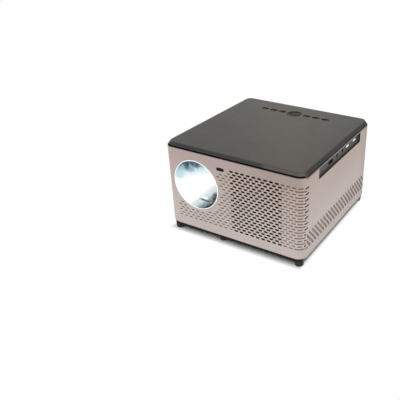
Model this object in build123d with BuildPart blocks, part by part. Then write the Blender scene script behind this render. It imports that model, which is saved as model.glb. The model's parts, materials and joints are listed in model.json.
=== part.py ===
from build123d import *
import os

os.makedirs("parts", exist_ok=True)

# A table-top projector in a square casing, with a slim disc drive under its lid.
# Millimetres. +Z is up, the lens looks along -Y, the sockets are on the +X side,
# the disc tray comes out on the -X side, and z = 0 is the table.

# ---- casing ----
body_w = 230.0          # outside width of the pale shell
body_d = 231.0          # outside depth of the pale shell
shell_h = 125.8         # height of the pale shell
corner_r = 14.0         # upright corners
wall = 2.5              # moulded wall
front_return = 15.5     # how far the front panel wraps round the sides
base_h = 5.0            # dark edge of the base under the shell
base_inset = 1.0
rim_h = 5.0             # locating rim of the base, inside the shell
rim_t = 2.0
seat_gap = 0.15         # all round a piece that sits in a cut-out
lip_t = 1.35            # lips of the front panel behind the side walls
lip_len = 4.0
lip_margin = 7.0
flange_t = 1.5          # retaining flanges behind the walls

# ---- feet ----
foot_h = 9.0
foot_r = 6.2
foot_round = 1.6
foot_inset_x = 9.9
foot_inset_y = 8.9
adjuster_x = -24.5
adjuster_inset_y = 10.4
knob_r = 5.3
knob_h = 7.0
tip_h = 1.6
tip_r = 4.6
tip_pin_r = 1.5
tip_pin_h = 3.5
stem_r = 3.0
stem_h = 17.0
adjuster_boss_r = 6.5
adjuster_cover = 2.0    # boss over the end of the stem
knob_grips = 16
knob_grip_r = 0.45
running = 0.05          # radial clearance of a shaft in its bore

# ---- lid ----
lid_h = 6.4
lid_inset = 0.9
lid_slope = 4.1         # how far the bevel runs in, from lower edge to top face
neck_h = 0.8            # dark shadow line between shell and lid
neck_inset = 2.0
lid_skin = 2.0
skirt_h = 1.5
skirt_t = 2.0

# ---- keys on the lid ----
key_x = -1.0            # centre of the whole group
key_from_rear = 39.5    # row of keys from the rear face
key_first = 22.1        # from the centre to the nearest oval key
key_pitch = 16.4
key_w = 13.0
key_d = 8.0
key_gap = 0.3
key_sink = 1.0          # key tops lie below the lid
key_flange = 1.0
key_flange_t = 0.8
key_rest_gap = 0.1
key_travel = 0.5
key_dish_r = 30.0
key_dish = 0.4
key_boss_r = 2.5
key_board_clear = 0.6   # a pressed key to the board
switch_w = 5.0
ring_switch_w = 3.0
ok_switch_w = 4.0
ring_key_r = 12.0
ok_key_r = 5.9

# ---- lens ----
lens_from_left = 53.8   # lens axis from the left side
lens_up = 73.6          # above the shell's lower edge
lens_ring_r = 39.7
lens_ring_w = 3.0
ring_flange = 1.8
ring_edge_out = 0.4     # chamfers of the trim ring
ring_edge_in = 0.6
focus_gap = 0.3
focus_front = 3.0       # focus ring behind the face of the panel
focus_len = 14.5
focus_ribs = 36
focus_lip = 0.8         # flat front edge outside the funnel
rib_w = 1.6
rib_depth = 0.4
tube_r = 34.0
tube_t = 1.9
tube_len = 40.0
tube_flange_r = 35.2
tube_flange_t = 2.0
barrel_len = 34.0
barrel_t = 2.5
barrel_front = 9.5      # barrel's rim behind the face of the panel
barrel_edge = 1.4
glass_sink = 2.0        # front lens behind the barrel's rim
glass_rear_sink = 1.0
glass_front_t = 5.0
glass_front_crown = 3.5
glass_rear_t = 6.0
glass_rear_crown = 3.0

# ---- infra-red window ----
ir_from_grille = 18.34  # left of the first hole of the grille
ir_up = 109.4
ir_w = 12.6
ir_h = 4.8
ir_flange = 1.5

# ---- speaker grille, through the front panel ----
grille_from_right = 113.16  # middle of the first hole
grille_up = 110.5       # middle of the top row
grille_pitch_x = 9.04
grille_pitch_z = 4.5
grille_cols = 9
grille_rows = 22
hole_w = 6.2
hole_h = 2.8

# ---- slanted grooves low on both sides ----
vent_count = 22
vent_pitch = 9.04
vent_from_front = 28.8  # middle of the groove nearest the front
vent_up = 27.0
vent_len = 36.0
vent_w = 4.2
vent_tilt = 46.8
vent_depth = 1.2

# ---- side windows: sockets on the right, disc drive on the left ----
window_y = 1.6
window_len = 148.2
window_up = 115.55
window_h = 16.3
window_r = 1.8
window_recess = 3.7
panel_t = 1.5
panel_over = 2.0
panel_over_top = 0.4

# ---- sockets ----
board_up = 112.0        # top of the main board above the shell's lower edge
hdmi_from_mid = -29.1   # sockets from the middle of the strip
hdmi_w = 15.2
hdmi_h = 6.0
hdmi_len = 12.0
hdmi_chamfer = 1.0
hdmi_skin = 0.7
hdmi_tongue_w = 10.7
hdmi_tongue_t = 1.2
hdmi_tongue_up = 0.4    # above the middle of its shell
usb_front_from_mid = 32.4
usb_rear_from_mid = 58.9
usb_w = 13.4
usb_h = 6.2
usb_len = 14.0
usb_tongue_w = 10.8
usb_tongue_t = 1.8
usb_tongue_up = 1.1
port_back = 1.5         # closed end of a socket
tongue_short = 1.5      # tongues end behind the mouth
port_skin = 0.5
jack_front_from_mid = -6.9
jack_rear_from_mid = 13.1
jack_body = 7.6
jack_nose_r = 3.0
jack_bore_r = 1.8
jack_len = 13.0
jack_depth = 11.0

# ---- inner frame and boards ----
deck_t = 1.5
deck_from_front = 54.5
deck_from_rear = 15.5
frame_clear = 5.5       # frame legs inside the outer face of the shell
leg_w = 12.0
leg_from_front = 65.5
leg_from_rear = 27.5
board_t = 1.6
board_gap = 4.5         # main board beside the disc drive
main_len = 138.0
main_shift = 1.4        # its middle behind the middle of the strip
chip_size = 24.0
chip_from_edge = 30.0
memory_w = 12.0
memory_len = 18.0
memory_pitch = 22.0
chip_t = 2.5
chip_shift = -13.0      # from the board's middle, along it
memory_shift = 31.0
main_post_x = 4.0       # posts inside the board's edges
main_post_y = 8.0
main_post_r = 2.5
power_w = 85.0
power_len = 70.0
power_from_right = 25.0
power_post_inset = 5.0
transformer_w = 28.0
transformer_len = 26.0
transformer_h = 24.0
capacitor_r = 6.5
capacitor_h = 28.0
power_up = 7.0
screw_r = 1.5
screw_head_r = 2.8
screw_head_h = 1.8
screw_slot = 3.2
screw_slot_w = 0.8
post_r = 3.0
board_round = 2.0
hole_clear = 0.15

# ---- optical engine ----
engine_w = 80.0
engine_h = 66.0
engine_from_front = 53.5
engine_len = 98.0
engine_wall = 2.0
engine_post_r = 4.0
engine_post_x = 27.0
engine_bore_r = 28.0
plate_gap = 0.1
condenser_at = 80.0     # plates from the engine's front wall
fresnel_rear_at = 66.0
panel_at = 56.0
fresnel_front_at = 44.0
plate_t = 2.0
led_size = 40.0
led_t = 3.0
led_window = 26.0
led_inset = 3.0         # its window's edge round the light source
engine_round = 3.0
condenser_margin = 4.0
condenser_bulge = 6.0
condenser_taper = 45
lcd_frame = 6.0
lcd_extra = 1.0
sink_w = 64.0
sink_base = 5.0
sink_gap = 7.5          # air gap between heat sink and fan
sink_margin = 3.0       # above and below, inside the engine's height
fin_t = 1.6
fin_count = 12

# ---- rear panel and fans ----
rear_margin = 20.0      # rear panel from the sides
rear_h = 100.0
rear_up = 63.0
rear_r = 3.0
fan_up = 53.0
fan_size = 80.0
fan_t = 25.0
fan_bore_r = 38.0
fan_tip_gap = 1.0
fan_hub_r = 15.0
fan_blades = 7
blade_t = 1.6
blade_pitch = 40        # degrees between a blade and the fan's axis
fan_round = 4.0
strut_t = 3.0
strut_w = 3.0
strut_over = 1.0        # strut ends inside hub and frame
rotor_gap = 1.0         # between rotor and struts
blade_short = 1.0       # a blade inside both ends of its hub
intake_size = 60.0
intake_t = 15.0
intake_bore_r = 28.0
intake_hub_r = 11.0
intake_strut = 2.0
intake_at = 47.0        # fan's axis behind the engine's front wall
intake_stand = 1.5
intake_post_r = 2.5
intake_post_inset = 3.0
intake_margin = 8.0     # slots inside the fan's sides
slot_h = 3.2
inlet_from_right = 53.0
inlet_up = 24.0
inlet_w = 21.0
inlet_h = 11.0
inlet_len = 17.0
inlet_pin_r = 1.2
inlet_pin_pitch = 8.6
inlet_flange = 2.5
inlet_floor = 3.0
pin_sink = 1.5          # pins end behind the panel's face
inlet_lobe_r = 4.6      # two lobes run into each other round the pins

# ---- tripod insert ----
insert_r = 6.0
insert_bore_r = 3.175
insert_len = 12.0
insert_wall = 3.0       # boss round the insert
insert_x = 0.0
insert_y = -20.0

# ---- speakers behind the grille ----
speaker_shift = 2.0     # from the middle of the grille
speaker_upper_up = 90.0
speaker_lower_up = 42.0
speaker_size = 44.0
speaker_r = 20.0
speaker_depth = 15.0
magnet_r = 13.0
magnet_h = 9.0
speaker_gap = 2.0       # behind the front panel
speaker_rim = 1.5
speaker_round = 4.0
basket_taper = 20
cone_edge = 1.0         # cone inside the basket
cone_t = 0.8
cone_h = 8.0
cone_taper = 35
voice_r = 7.0
voice_len = 5.0

# ---- slim disc drive ----
drive_w = 128.0
drive_h = 12.7
drive_len = 129.0
drive_skin = 0.8
drive_gap = 0.3
rail_t = 1.4
rail_h = 5.0
rail_len = 120.0
tray_len = 127.3
tray_t = 7.0
tray_lift = 0.5
disc_r = 60.0
disc_gap = 0.5
disc_recess = 2.2
cover_ring = 5.0        # pressed ring in the cover, round the hub
hub_from_bezel = 63.3
hub_r = 7.3
hub_flange_r = 13.0
hub_flange_t = 1.0
hub_h = 2.4
hub_chamfer = 0.8
hub_gap = 0.3
motor_floor = 0.8       # under the shaft's bore
motor_r = 11.0
motor_h = 2.9
motor_shaft_r = 1.5
shaft_gap = 0.2
pocket_floor = 1.0
pocket_half = 27.0
pocket_front = 13.5     # pocket wall in front of the spindle
pocket_spare = 1.0      # pocket wall behind the sled's last place
sled_start = 18.0
sled_len = 12.0
sled_h = 3.0
sled_edge = 2.75        # sled beyond its bores
sled_lens_r = 3.2
sled_lens_h = 0.6
sled_gap = 0.4
sled_travel = 31.0
rod_r = 1.2
rod_y = 17.5
screw_y = 23.0
journal_r = 0.8
journal_len = 1.2
screw_gap = 0.2         # lead screw to the pocket's ends
bezel_t = 2.5
bezel_gap = 0.3
eject_y = 45.0
eject_w = 8.0
eject_h = 3.0
eject_travel = 0.6
eject_gap = 0.3
eject_flange_w = 0.6
eject_flange_h = 0.4
eject_flange_t = 0.8
eject_room = 1.0        # pocket in the tray beside the button
eject_rest = 0.1
bezel_round = 1.0
eject_round = 0.8
release_shift = 14.0    # emergency release hole, beside the button
release_r = 0.75

# ---- places worked out from the sizes ----
side_x = body_w / 2
front_y = -body_d / 2
rear_y = body_d / 2
inner_w = body_w - 2 * wall
inner_d = body_d - 2 * wall
inner_r = corner_r - wall
split_y = front_y + front_return
base_z = foot_h
shell_z = base_z + base_h
shell_top = shell_z + shell_h
lid_top = shell_top + lid_h
lid_under = lid_top - lid_skin
lens_x = lens_from_left - side_x
lens_z = shell_z + lens_up
engine_front = front_y + engine_from_front
engine_rear = engine_front + engine_len
window_z = shell_z + window_up
drive_z = window_z - drive_h / 2
deck_z = drive_z - deck_t
panel_x = side_x - window_recess
bezel_back = panel_t - panel_x
drive_x0 = bezel_back + drive_gap
drive_x1 = drive_x0 + drive_len
leg_x = side_x - frame_clear
leg_front_y = front_y + leg_from_front
leg_rear_y = rear_y - leg_from_rear
rear_w = body_w - 2 * rear_margin
rear_z = shell_z + rear_up
inner_face_y = rear_y - wall - flange_t


def facing_front(y):
    """Sketch plane at depth y: local x is X, local y is Z, and positive is towards the front."""
    return Plane(origin=(0, y, 0), x_dir=(1, 0, 0), z_dir=(0, -1, 0))


def facing_right(x):
    """Sketch plane at x: local x is Y, local y is Z, and positive is towards +X."""
    return Plane(origin=(x, 0, 0), x_dir=(0, 1, 0), z_dir=(1, 0, 0))


def level(z):
    return Plane.XY.offset(z)


# ================= casing =================

# front panel with its rounded corners, speaker grille, lens hole and window hole
grille_x = side_x - grille_from_right
ir_x = grille_x - ir_from_grille
grille_z = shell_z + grille_up - (grille_rows - 1) * grille_pitch_z / 2
grille_mid = grille_x + (grille_cols - 1) * grille_pitch_x / 2
with BuildPart() as front_panel:
    with BuildSketch(level(shell_z)):
        RectangleRounded(body_w, body_d, corner_r)
        RectangleRounded(inner_w, inner_d, inner_r, mode=Mode.SUBTRACT)
        with Locations((0, split_y + body_d / 2)):
            Rectangle(body_w, body_d, mode=Mode.SUBTRACT)
    extrude(amount=shell_h)
    with BuildSketch(level(shell_z + lip_margin)):
        for side in (-1, 1):
            with Locations((side * (inner_w - lip_t) / 2, split_y - lip_len / 2)):
                Rectangle(lip_t, lip_len)
            with Locations((side * ((inner_w - lip_t) / 2 - seat_gap / 2), split_y + lip_len / 2)):
                Rectangle(lip_t - seat_gap, lip_len)
    extrude(amount=shell_h - 2 * lip_margin)
    with BuildSketch(facing_front(front_y)):
        with Locations((lens_x, lens_z)):
            Circle(lens_ring_r + seat_gap)
        with Locations((ir_x, shell_z + ir_up)):
            SlotOverall(ir_w + 2 * seat_gap, ir_h + 2 * seat_gap)
    extrude(amount=-2 * wall, mode=Mode.SUBTRACT)
    with BuildSketch(facing_front(front_y)):
        for shift_x, shift_z in ((0, grille_pitch_z / 2), (grille_pitch_x / 2, -grille_pitch_z / 2)):
            with Locations((grille_mid + shift_x, grille_z + shift_z)):
                with GridLocations(grille_pitch_x, 2 * grille_pitch_z, grille_cols, grille_rows // 2):
                    Polygon(
                        (-hole_w / 2, 0),
                        ((hole_h - hole_w) / 2, -hole_h / 2),
                        ((hole_w - hole_h) / 2, -hole_h / 2),
                        (hole_w / 2, 0),
                        ((hole_w - hole_h) / 2, hole_h / 2),
                        ((hole_h - hole_w) / 2, hole_h / 2),
                    )
    extrude(amount=-2 * wall, mode=Mode.SUBTRACT)
front_panel.part.label = "front_panel"
export_step(front_panel.part, "parts/front_panel.step")

# side and rear walls in one moulding, with both side windows and the slanted grooves
vent_mid_y = front_y + vent_from_front + (vent_count - 1) * vent_pitch / 2
with BuildPart() as side_shell:
    with BuildSketch(level(shell_z)):
        RectangleRounded(body_w, body_d, corner_r)
        RectangleRounded(inner_w, inner_d, inner_r, mode=Mode.SUBTRACT)
        with Locations((0, split_y - body_d / 2)):
            Rectangle(body_w, body_d, mode=Mode.SUBTRACT)
    extrude(amount=shell_h)
    with BuildSketch(facing_front(rear_y)):
        with Locations((0, rear_z)):
            RectangleRounded(rear_w, rear_h, rear_r)
    extrude(amount=2 * wall, mode=Mode.SUBTRACT)
    with BuildSketch(facing_right(side_x)):
        with Locations((window_y, window_z)):
            RectangleRounded(window_len, window_h, window_r)
    extrude(amount=-body_w, mode=Mode.SUBTRACT)
    for side in (-1, 1):
        with BuildSketch(facing_right(side * side_x)):
            with Locations((vent_mid_y, shell_z + vent_up)):
                with GridLocations(vent_pitch, 1, vent_count, 1):
                    SlotOverall(vent_len, vent_w, rotation=-vent_tilt)
        extrude(amount=-side * vent_depth, mode=Mode.SUBTRACT)
side_shell.part.label = "side_shell"
export_step(side_shell.part, "parts/side_shell.step")

# rear panel: exhaust slots in front of the fan, and the hole of the mains inlet
fan_z = shell_z + fan_up
inlet_x = side_x - inlet_from_right
inlet_z = shell_z + inlet_up
with BuildPart() as rear_panel:
    with BuildSketch(facing_front(rear_y)):
        with Locations((0, rear_z)):
            RectangleRounded(rear_w - 2 * seat_gap, rear_h - 2 * seat_gap, rear_r - seat_gap)
    extrude(amount=wall)
    with BuildSketch(facing_front(rear_y - wall)):
        with Locations((0, rear_z)):
            RectangleRounded(rear_w + 2 * rear_r, rear_h + 2 * rear_r, 2 * rear_r)
    extrude(amount=flange_t)
    with BuildSketch(facing_front(rear_y)):
        with Locations((lens_x, fan_z)):
            with GridLocations(fan_size / 2, 2 * slot_h, 2, 11):
                Rectangle(fan_size / 2 - slot_h, slot_h)
        with Locations((inlet_x, inlet_z)):
            SlotOverall(inlet_w + 2 * seat_gap, inlet_h + 2 * seat_gap)
    extrude(amount=2 * wall, mode=Mode.SUBTRACT)
rear_panel.part.label = "rear_panel"
export_step(rear_panel.part, "parts/rear_panel.step")

# base with its locating rim, posts, bosses and intake slots
adjuster_y = front_y + adjuster_inset_y
engine_mid_y = engine_front + engine_len / 2
post_y = engine_len / 2 - 2 * engine_post_r
engine_z = lens_z - engine_h / 2
nut_top = base_z + stem_h + adjuster_cover
insert_top = base_z + insert_len + insert_wall / 3
intake_y = engine_front + intake_at
intake_post_pitch = intake_size - 2 * intake_post_inset
power_x = side_x - power_from_right - power_w / 2
power_y = rear_y - deck_from_rear - power_len / 2
tab_x = leg_x - leg_w / 2
with BuildPart() as bottom_plate:
    with BuildSketch(level(base_z)):
        RectangleRounded(body_w - 2 * base_inset, body_d - 2 * base_inset, corner_r - base_inset)
    extrude(amount=base_h)
    with BuildSketch(level(shell_z)):
        RectangleRounded(inner_w - 2 * seat_gap, inner_d - 2 * seat_gap, inner_r - seat_gap)
        RectangleRounded(
            inner_w - 2 * (seat_gap + rim_t),
            inner_d - 2 * (seat_gap + rim_t),
            inner_r - seat_gap - rim_t,
            mode=Mode.SUBTRACT,
        )
    extrude(amount=rim_h)
    with BuildSketch(level(shell_z)):
        with Locations((lens_x, engine_mid_y)):
            with GridLocations(2 * engine_post_x, 2 * post_y, 2, 2):
                Circle(engine_post_r)
    extrude(amount=engine_z - shell_z)
    with BuildSketch(level(shell_z)):
        with Locations((power_x, power_y)):
            with GridLocations(power_w - 2 * power_post_inset, power_len - 2 * power_post_inset, 2, 2):
                Circle(post_r)
    extrude(amount=power_up)
    with BuildSketch(level(shell_z)):
        with Locations((adjuster_x, adjuster_y)):
            Circle(adjuster_boss_r)
    extrude(amount=nut_top - shell_z)
    with BuildSketch(level(shell_z)):
        with Locations((insert_x, insert_y)):
            Circle(insert_r + insert_wall)
    extrude(amount=insert_top - shell_z)
    with BuildSketch(level(shell_z)):
        with Locations((lens_x, intake_y)):
            with GridLocations(intake_post_pitch, intake_post_pitch, 2, 2):
                Circle(intake_post_r)
    extrude(amount=intake_stand)
    with BuildSketch(level(base_z)):
        with Locations((adjuster_x, adjuster_y)):
            Circle(stem_r + running)
    extrude(amount=nut_top - base_z - adjuster_cover / 2, mode=Mode.SUBTRACT)
    with BuildSketch(level(base_z)):
        with Locations((insert_x, insert_y)):
            Circle(insert_r + plate_gap)
    extrude(amount=insert_len, mode=Mode.SUBTRACT)
    with BuildSketch(level(base_z)):
        with Locations((lens_x, intake_y)):
            with GridLocations(intake_size, 2 * slot_h, 1, 8):
                Rectangle(intake_size - 2 * intake_margin, slot_h)
        for y in (leg_front_y, leg_rear_y):
            with Locations((-tab_x, y), (tab_x, y)):
                Circle(screw_r + hole_clear)
    extrude(amount=base_h, mode=Mode.SUBTRACT)
    with BuildSketch(level(base_z)):
        for y in (leg_front_y, leg_rear_y):
            with Locations((-tab_x, y), (tab_x, y)):
                Circle(screw_head_r + hole_clear)
    extrude(amount=screw_head_h, mode=Mode.SUBTRACT)
bottom_plate.part.label = "bottom_plate"
export_step(bottom_plate.part, "parts/bottom_plate.step")

# lid: bevelled plate on a narrow neck, hollow underneath, with key holes and board bosses
key_y = rear_y - key_from_rear
key_rows = [key_x + side * (key_first + i * key_pitch) for side in (-1, 1) for i in range(3)]
lid_low_z = shell_top + neck_h
board_bosses = [(key_x + side * (key_first + 2.75 * key_pitch), key_y) for side in (-1, 1)]
key_board_top = lid_under - key_rest_gap - 2 * key_flange_t - 2 * key_travel - key_board_clear
with BuildPart() as top_lid:
    with BuildSketch(level(lid_low_z)):
        RectangleRounded(body_w - 2 * lid_inset, body_d - 2 * lid_inset, corner_r - lid_inset)
    with BuildSketch(level(lid_top)):
        RectangleRounded(
            body_w - 2 * (lid_inset + lid_slope),
            body_d - 2 * (lid_inset + lid_slope),
            corner_r - lid_inset - lid_slope,
        )
    loft()
    with BuildSketch(level(shell_top)):
        RectangleRounded(body_w - 2 * neck_inset, body_d - 2 * neck_inset, corner_r - neck_inset)
    extrude(amount=neck_h)
    with BuildSketch(level(shell_top - skirt_h)):
        RectangleRounded(inner_w - 2 * seat_gap, inner_d - 2 * seat_gap, inner_r - seat_gap)
    extrude(amount=skirt_h)
    with BuildSketch(level(shell_top - skirt_h)):
        RectangleRounded(
            inner_w - 2 * (seat_gap + skirt_t),
            inner_d - 2 * (seat_gap + skirt_t),
            inner_r - seat_gap - skirt_t,
        )
    extrude(amount=lid_under - shell_top + skirt_h, mode=Mode.SUBTRACT)
    with BuildSketch(level(key_board_top)):
        with Locations(*board_bosses):
            Circle(key_boss_r)
    extrude(amount=lid_under - key_board_top)
    with BuildSketch(level(lid_under)):
        with Locations(*[(x, key_y) for x in key_rows]):
            SlotOverall(key_w, key_d)
        with Locations((key_x, key_y)):
            Circle(ring_key_r)
    extrude(amount=lid_skin, mode=Mode.SUBTRACT)
top_lid.part.label = "top_lid"
export_step(top_lid.part, "parts/top_lid.step")

# four rubber feet with rounded soles
foot_places = [
    (x * (side_x - foot_inset_x), y * (rear_y - foot_inset_y)) for x in (-1, 1) for y in (-1, 1)
]
with BuildPart() as rubber_feet:
    with BuildSketch(level(0)):
        with Locations(*foot_places):
            Circle(foot_r)
    extrude(amount=foot_h)
    fillet(rubber_feet.edges().group_by(Axis.Z)[0], foot_round)
rubber_feet.part.label = "rubber_feet"
export_step(rubber_feet.part, "parts/rubber_feet.step")

# adjustable foot: a threaded knob that turns on a rubber tip
with BuildPart() as adjuster_tip:
    with BuildSketch(level(0)):
        with Locations((adjuster_x, adjuster_y)):
            Circle(tip_r)
    extrude(amount=tip_h)
    fillet(adjuster_tip.edges().group_by(Axis.Z)[0], tip_h / 2)
    with BuildSketch(level(tip_h)):
        with Locations((adjuster_x, adjuster_y)):
            Circle(tip_pin_r)
    extrude(amount=tip_pin_h)
adjuster_tip.part.label = "adjuster_tip"
export_step(adjuster_tip.part, "parts/adjuster_tip.step")

knob_z = tip_h + key_rest_gap
with BuildPart() as adjuster_screw:
    with BuildSketch(level(knob_z)):
        with Locations((adjuster_x, adjuster_y)):
            Circle(knob_r)
            with PolarLocations(knob_r, knob_grips):
                Circle(knob_grip_r, mode=Mode.SUBTRACT)
    extrude(amount=knob_h)
    with BuildSketch(level(knob_z + knob_h)):
        with Locations((adjuster_x, adjuster_y)):
            Circle(stem_r)
    extrude(amount=base_z + stem_h - knob_z - knob_h)
    with BuildSketch(level(knob_z)):
        with Locations((adjuster_x, adjuster_y)):
            Circle(tip_pin_r + running)
    extrude(amount=tip_pin_h + 0.5, mode=Mode.SUBTRACT)
adjuster_screw.part.label = "adjuster_screw"
export_step(adjuster_screw.part, "parts/adjuster_screw.step")

# tripod insert, a brass bush with a quarter-inch bore
with BuildPart() as tripod_insert:
    with BuildSketch(level(base_z)):
        with Locations((insert_x, insert_y)):
            Circle(insert_r)
            Circle(insert_bore_r, mode=Mode.SUBTRACT)
    extrude(amount=insert_len)
tripod_insert.part.label = "tripod_insert"
export_step(tripod_insert.part, "parts/tripod_insert.step")

# screws through the base into the feet of the inner frame
screw_places = [(x * tab_x, y) for x in (-1, 1) for y in (leg_front_y, leg_rear_y)]
with BuildPart() as base_screws:
    with BuildSketch(level(base_z)):
        with Locations(*screw_places):
            Circle(screw_head_r)
    extrude(amount=screw_head_h)
    with BuildSketch(level(base_z + screw_head_h)):
        with Locations(*screw_places):
            Circle(screw_r)
    extrude(amount=base_h + deck_t)
    with BuildSketch(level(base_z)):
        with Locations(*screw_places):
            Rectangle(screw_slot, screw_slot_w)
            Rectangle(screw_slot_w, screw_slot)
    extrude(amount=screw_head_h / 2, mode=Mode.SUBTRACT)
base_screws.part.label = "base_screws"
export_step(base_screws.part, "parts/base_screws.step")

# ================= keys =================

key_names = ["play_key", "menu_key", "power_key", "volume_down_key", "volume_up_key", "source_key"]
cap_bottom = lid_under - key_rest_gap
cap_top = lid_top - key_sink
for key_name, x in zip(key_names, key_rows):
    with BuildPart() as oval_key:
        with BuildSketch(level(cap_bottom)):
            with Locations((x, key_y)):
                SlotOverall(key_w - 2 * key_gap, key_d - 2 * key_gap)
        extrude(amount=cap_top - cap_bottom)
        with Locations((x, key_y, cap_top + key_dish_r - key_dish)):
            Sphere(key_dish_r, mode=Mode.SUBTRACT)
        with BuildSketch(level(cap_bottom - key_flange_t)):
            with Locations((x, key_y)):
                SlotOverall(key_w + 2 * key_flange - 2 * key_gap, key_d + 2 * key_flange - 2 * key_gap)
        extrude(amount=key_flange_t)
    oval_key.part.label = key_name
    export_step(oval_key.part, f"parts/{key_name}.step")

with BuildPart() as direction_ring:
    with BuildSketch(level(cap_bottom)):
        with Locations((key_x, key_y)):
            Circle(ring_key_r - key_gap)
    extrude(amount=cap_top - cap_bottom)
    with BuildSketch(level(cap_bottom - key_flange_t)):
        with Locations((key_x, key_y)):
            Circle(ring_key_r - key_gap + key_flange)
    extrude(amount=key_flange_t)
    with BuildSketch(level(cap_bottom - key_flange_t)):
        with Locations((key_x, key_y)):
            Circle(ok_key_r)
    extrude(amount=lid_skin + key_flange_t, mode=Mode.SUBTRACT)
    with Locations((key_x, key_y, cap_top + 2 * key_dish_r - 2 * key_dish)):
        Sphere(2 * key_dish_r, mode=Mode.SUBTRACT)
direction_ring.part.label = "direction_ring"
export_step(direction_ring.part, "parts/direction_ring.step")

ok_flange_z = cap_bottom - 2 * key_flange_t - key_travel - key_rest_gap
with BuildPart() as ok_key:
    with BuildSketch(level(ok_flange_z)):
        with Locations((key_x, key_y)):
            Circle(ok_key_r - key_gap)
    extrude(amount=cap_top - ok_flange_z)
    with BuildSketch(level(ok_flange_z)):
        with Locations((key_x, key_y)):
            Circle(ok_key_r + key_flange)
    extrude(amount=key_flange_t)
    with Locations((key_x, key_y, cap_top + key_dish_r - key_dish)):
        Sphere(key_dish_r, mode=Mode.SUBTRACT)
ok_key.part.label = "ok_key"
export_step(ok_key.part, "parts/ok_key.step")

# board under the keys, with one switch below each
switch_h = cap_bottom - key_flange_t - key_travel - key_rest_gap - key_board_top
ok_switch_h = ok_flange_z - key_travel - key_rest_gap - key_board_top
with BuildPart() as key_board:
    with BuildSketch(level(key_board_top - board_t)):
        with Locations((key_x, key_y)):
            RectangleRounded(2 * (key_first + 3 * key_pitch), 4 * key_d, board_round)
    extrude(amount=board_t)
    with BuildSketch(level(key_board_top)):
        with Locations(*[(x, key_y) for x in key_rows]):
            Rectangle(switch_w, switch_w)
        with Locations((key_x, key_y)):
            with PolarLocations(ring_key_r - ring_switch_w / 2, 4):
                Rectangle(ring_switch_w, ring_switch_w)
    extrude(amount=switch_h)
    with BuildSketch(level(key_board_top)):
        with Locations((key_x, key_y)):
            Rectangle(ok_switch_w, ok_switch_w)
    extrude(amount=ok_switch_h)
key_board.part.label = "key_board"
export_step(key_board.part, "parts/key_board.step")

# ================= lens =================

lens_plane = Plane(origin=(lens_x, 0, lens_z), x_dir=(0, 1, 0), z_dir=(1, 0, 0))
lens_axis = Axis((lens_x, 0, lens_z), (0, 1, 0))
ring_bore_r = lens_ring_r - lens_ring_w
ring_back = front_y + wall + flange_t
with BuildPart() as lens_ring:
    with BuildSketch(lens_plane):
        with BuildLine():
            Polyline(
                (front_y, ring_bore_r + ring_edge_in),
                (front_y, lens_ring_r - ring_edge_out),
                (front_y + ring_edge_out, lens_ring_r),
                (front_y + wall, lens_ring_r),
                (front_y + wall, lens_ring_r + ring_flange),
                (ring_back, lens_ring_r + ring_flange),
                (ring_back, ring_bore_r),
                (front_y + ring_edge_in, ring_bore_r),
                close=True,
            )
        make_face()
    revolve(axis=lens_axis)
    split(bisect_by=Plane(origin=(corner_r - side_x, 0, 0), z_dir=(1, 0, 0)), keep=Keep.TOP)
lens_ring.part.label = "lens_ring"
export_step(lens_ring.part, "parts/lens_ring.step")

focus_y = front_y + focus_front
focus_r = ring_bore_r - focus_gap
tube_front = engine_front - tube_len
barrel_r = tube_r - tube_t - running
barrel_y = front_y + barrel_front
throat_r = barrel_r + focus_gap
with BuildPart() as focus_ring:
    with BuildSketch(lens_plane):
        with BuildLine():
            Polyline(
                (focus_y, focus_r - focus_lip),
                (focus_y, focus_r),
                (focus_y + focus_len, focus_r),
                (focus_y + focus_len, tube_r + running),
                (tube_front - focus_gap, tube_r + running),
                (tube_front - focus_gap, throat_r),
                (barrel_y - focus_gap, throat_r),
                close=True,
            )
        make_face()
    revolve(axis=lens_axis)
    with BuildSketch(facing_front(focus_y)):
        with Locations((lens_x, lens_z)):
            with PolarLocations(focus_r, focus_ribs):
                Rectangle(2 * rib_depth, rib_w)
    extrude(amount=-focus_len / 3, mode=Mode.SUBTRACT)
focus_ring.part.label = "focus_ring"
export_step(focus_ring.part, "parts/focus_ring.step")

with BuildPart() as lens_tube:
    with BuildSketch(lens_plane):
        with BuildLine():
            Polyline(
                (tube_front, tube_r - tube_t),
                (tube_front, tube_r),
                (engine_front - tube_flange_t, tube_r),
                (engine_front - tube_flange_t, tube_flange_r),
                (engine_front, tube_flange_r),
                (engine_front, tube_r - tube_t),
                close=True,
            )
        make_face()
    revolve(axis=lens_axis)
lens_tube.part.label = "lens_tube"
export_step(lens_tube.part, "parts/lens_tube.step")

barrel_bore_r = barrel_r - barrel_t
with BuildPart() as lens_barrel:
    with BuildSketch(lens_plane):
        with BuildLine():
            Polyline(
                (barrel_y, barrel_bore_r + barrel_edge),
                (barrel_y, barrel_r),
                (barrel_y + barrel_len, barrel_r),
                (barrel_y + barrel_len, barrel_bore_r),
                (barrel_y + barrel_edge, barrel_bore_r),
                close=True,
            )
        make_face()
    revolve(axis=lens_axis)
lens_barrel.part.label = "lens_barrel"
export_step(lens_barrel.part, "parts/lens_barrel.step")

glass_y = barrel_y + glass_sink
with BuildPart() as front_lens:
    with BuildSketch(lens_plane):
        with BuildLine():
            Line((glass_y - glass_front_crown, 0), (glass_y + glass_front_t, 0))
            Line((glass_y + glass_front_t, 0), (glass_y + glass_front_t, barrel_bore_r))
            Line((glass_y + glass_front_t, barrel_bore_r), (glass_y, barrel_bore_r))
            RadiusArc(
                (glass_y, barrel_bore_r),
                (glass_y - glass_front_crown, 0),
                -(barrel_bore_r ** 2 + glass_front_crown ** 2) / (2 * glass_front_crown),
            )
        make_face()
    revolve(axis=lens_axis)
front_lens.part.label = "front_lens"
export_step(front_lens.part, "parts/front_lens.step")

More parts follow.
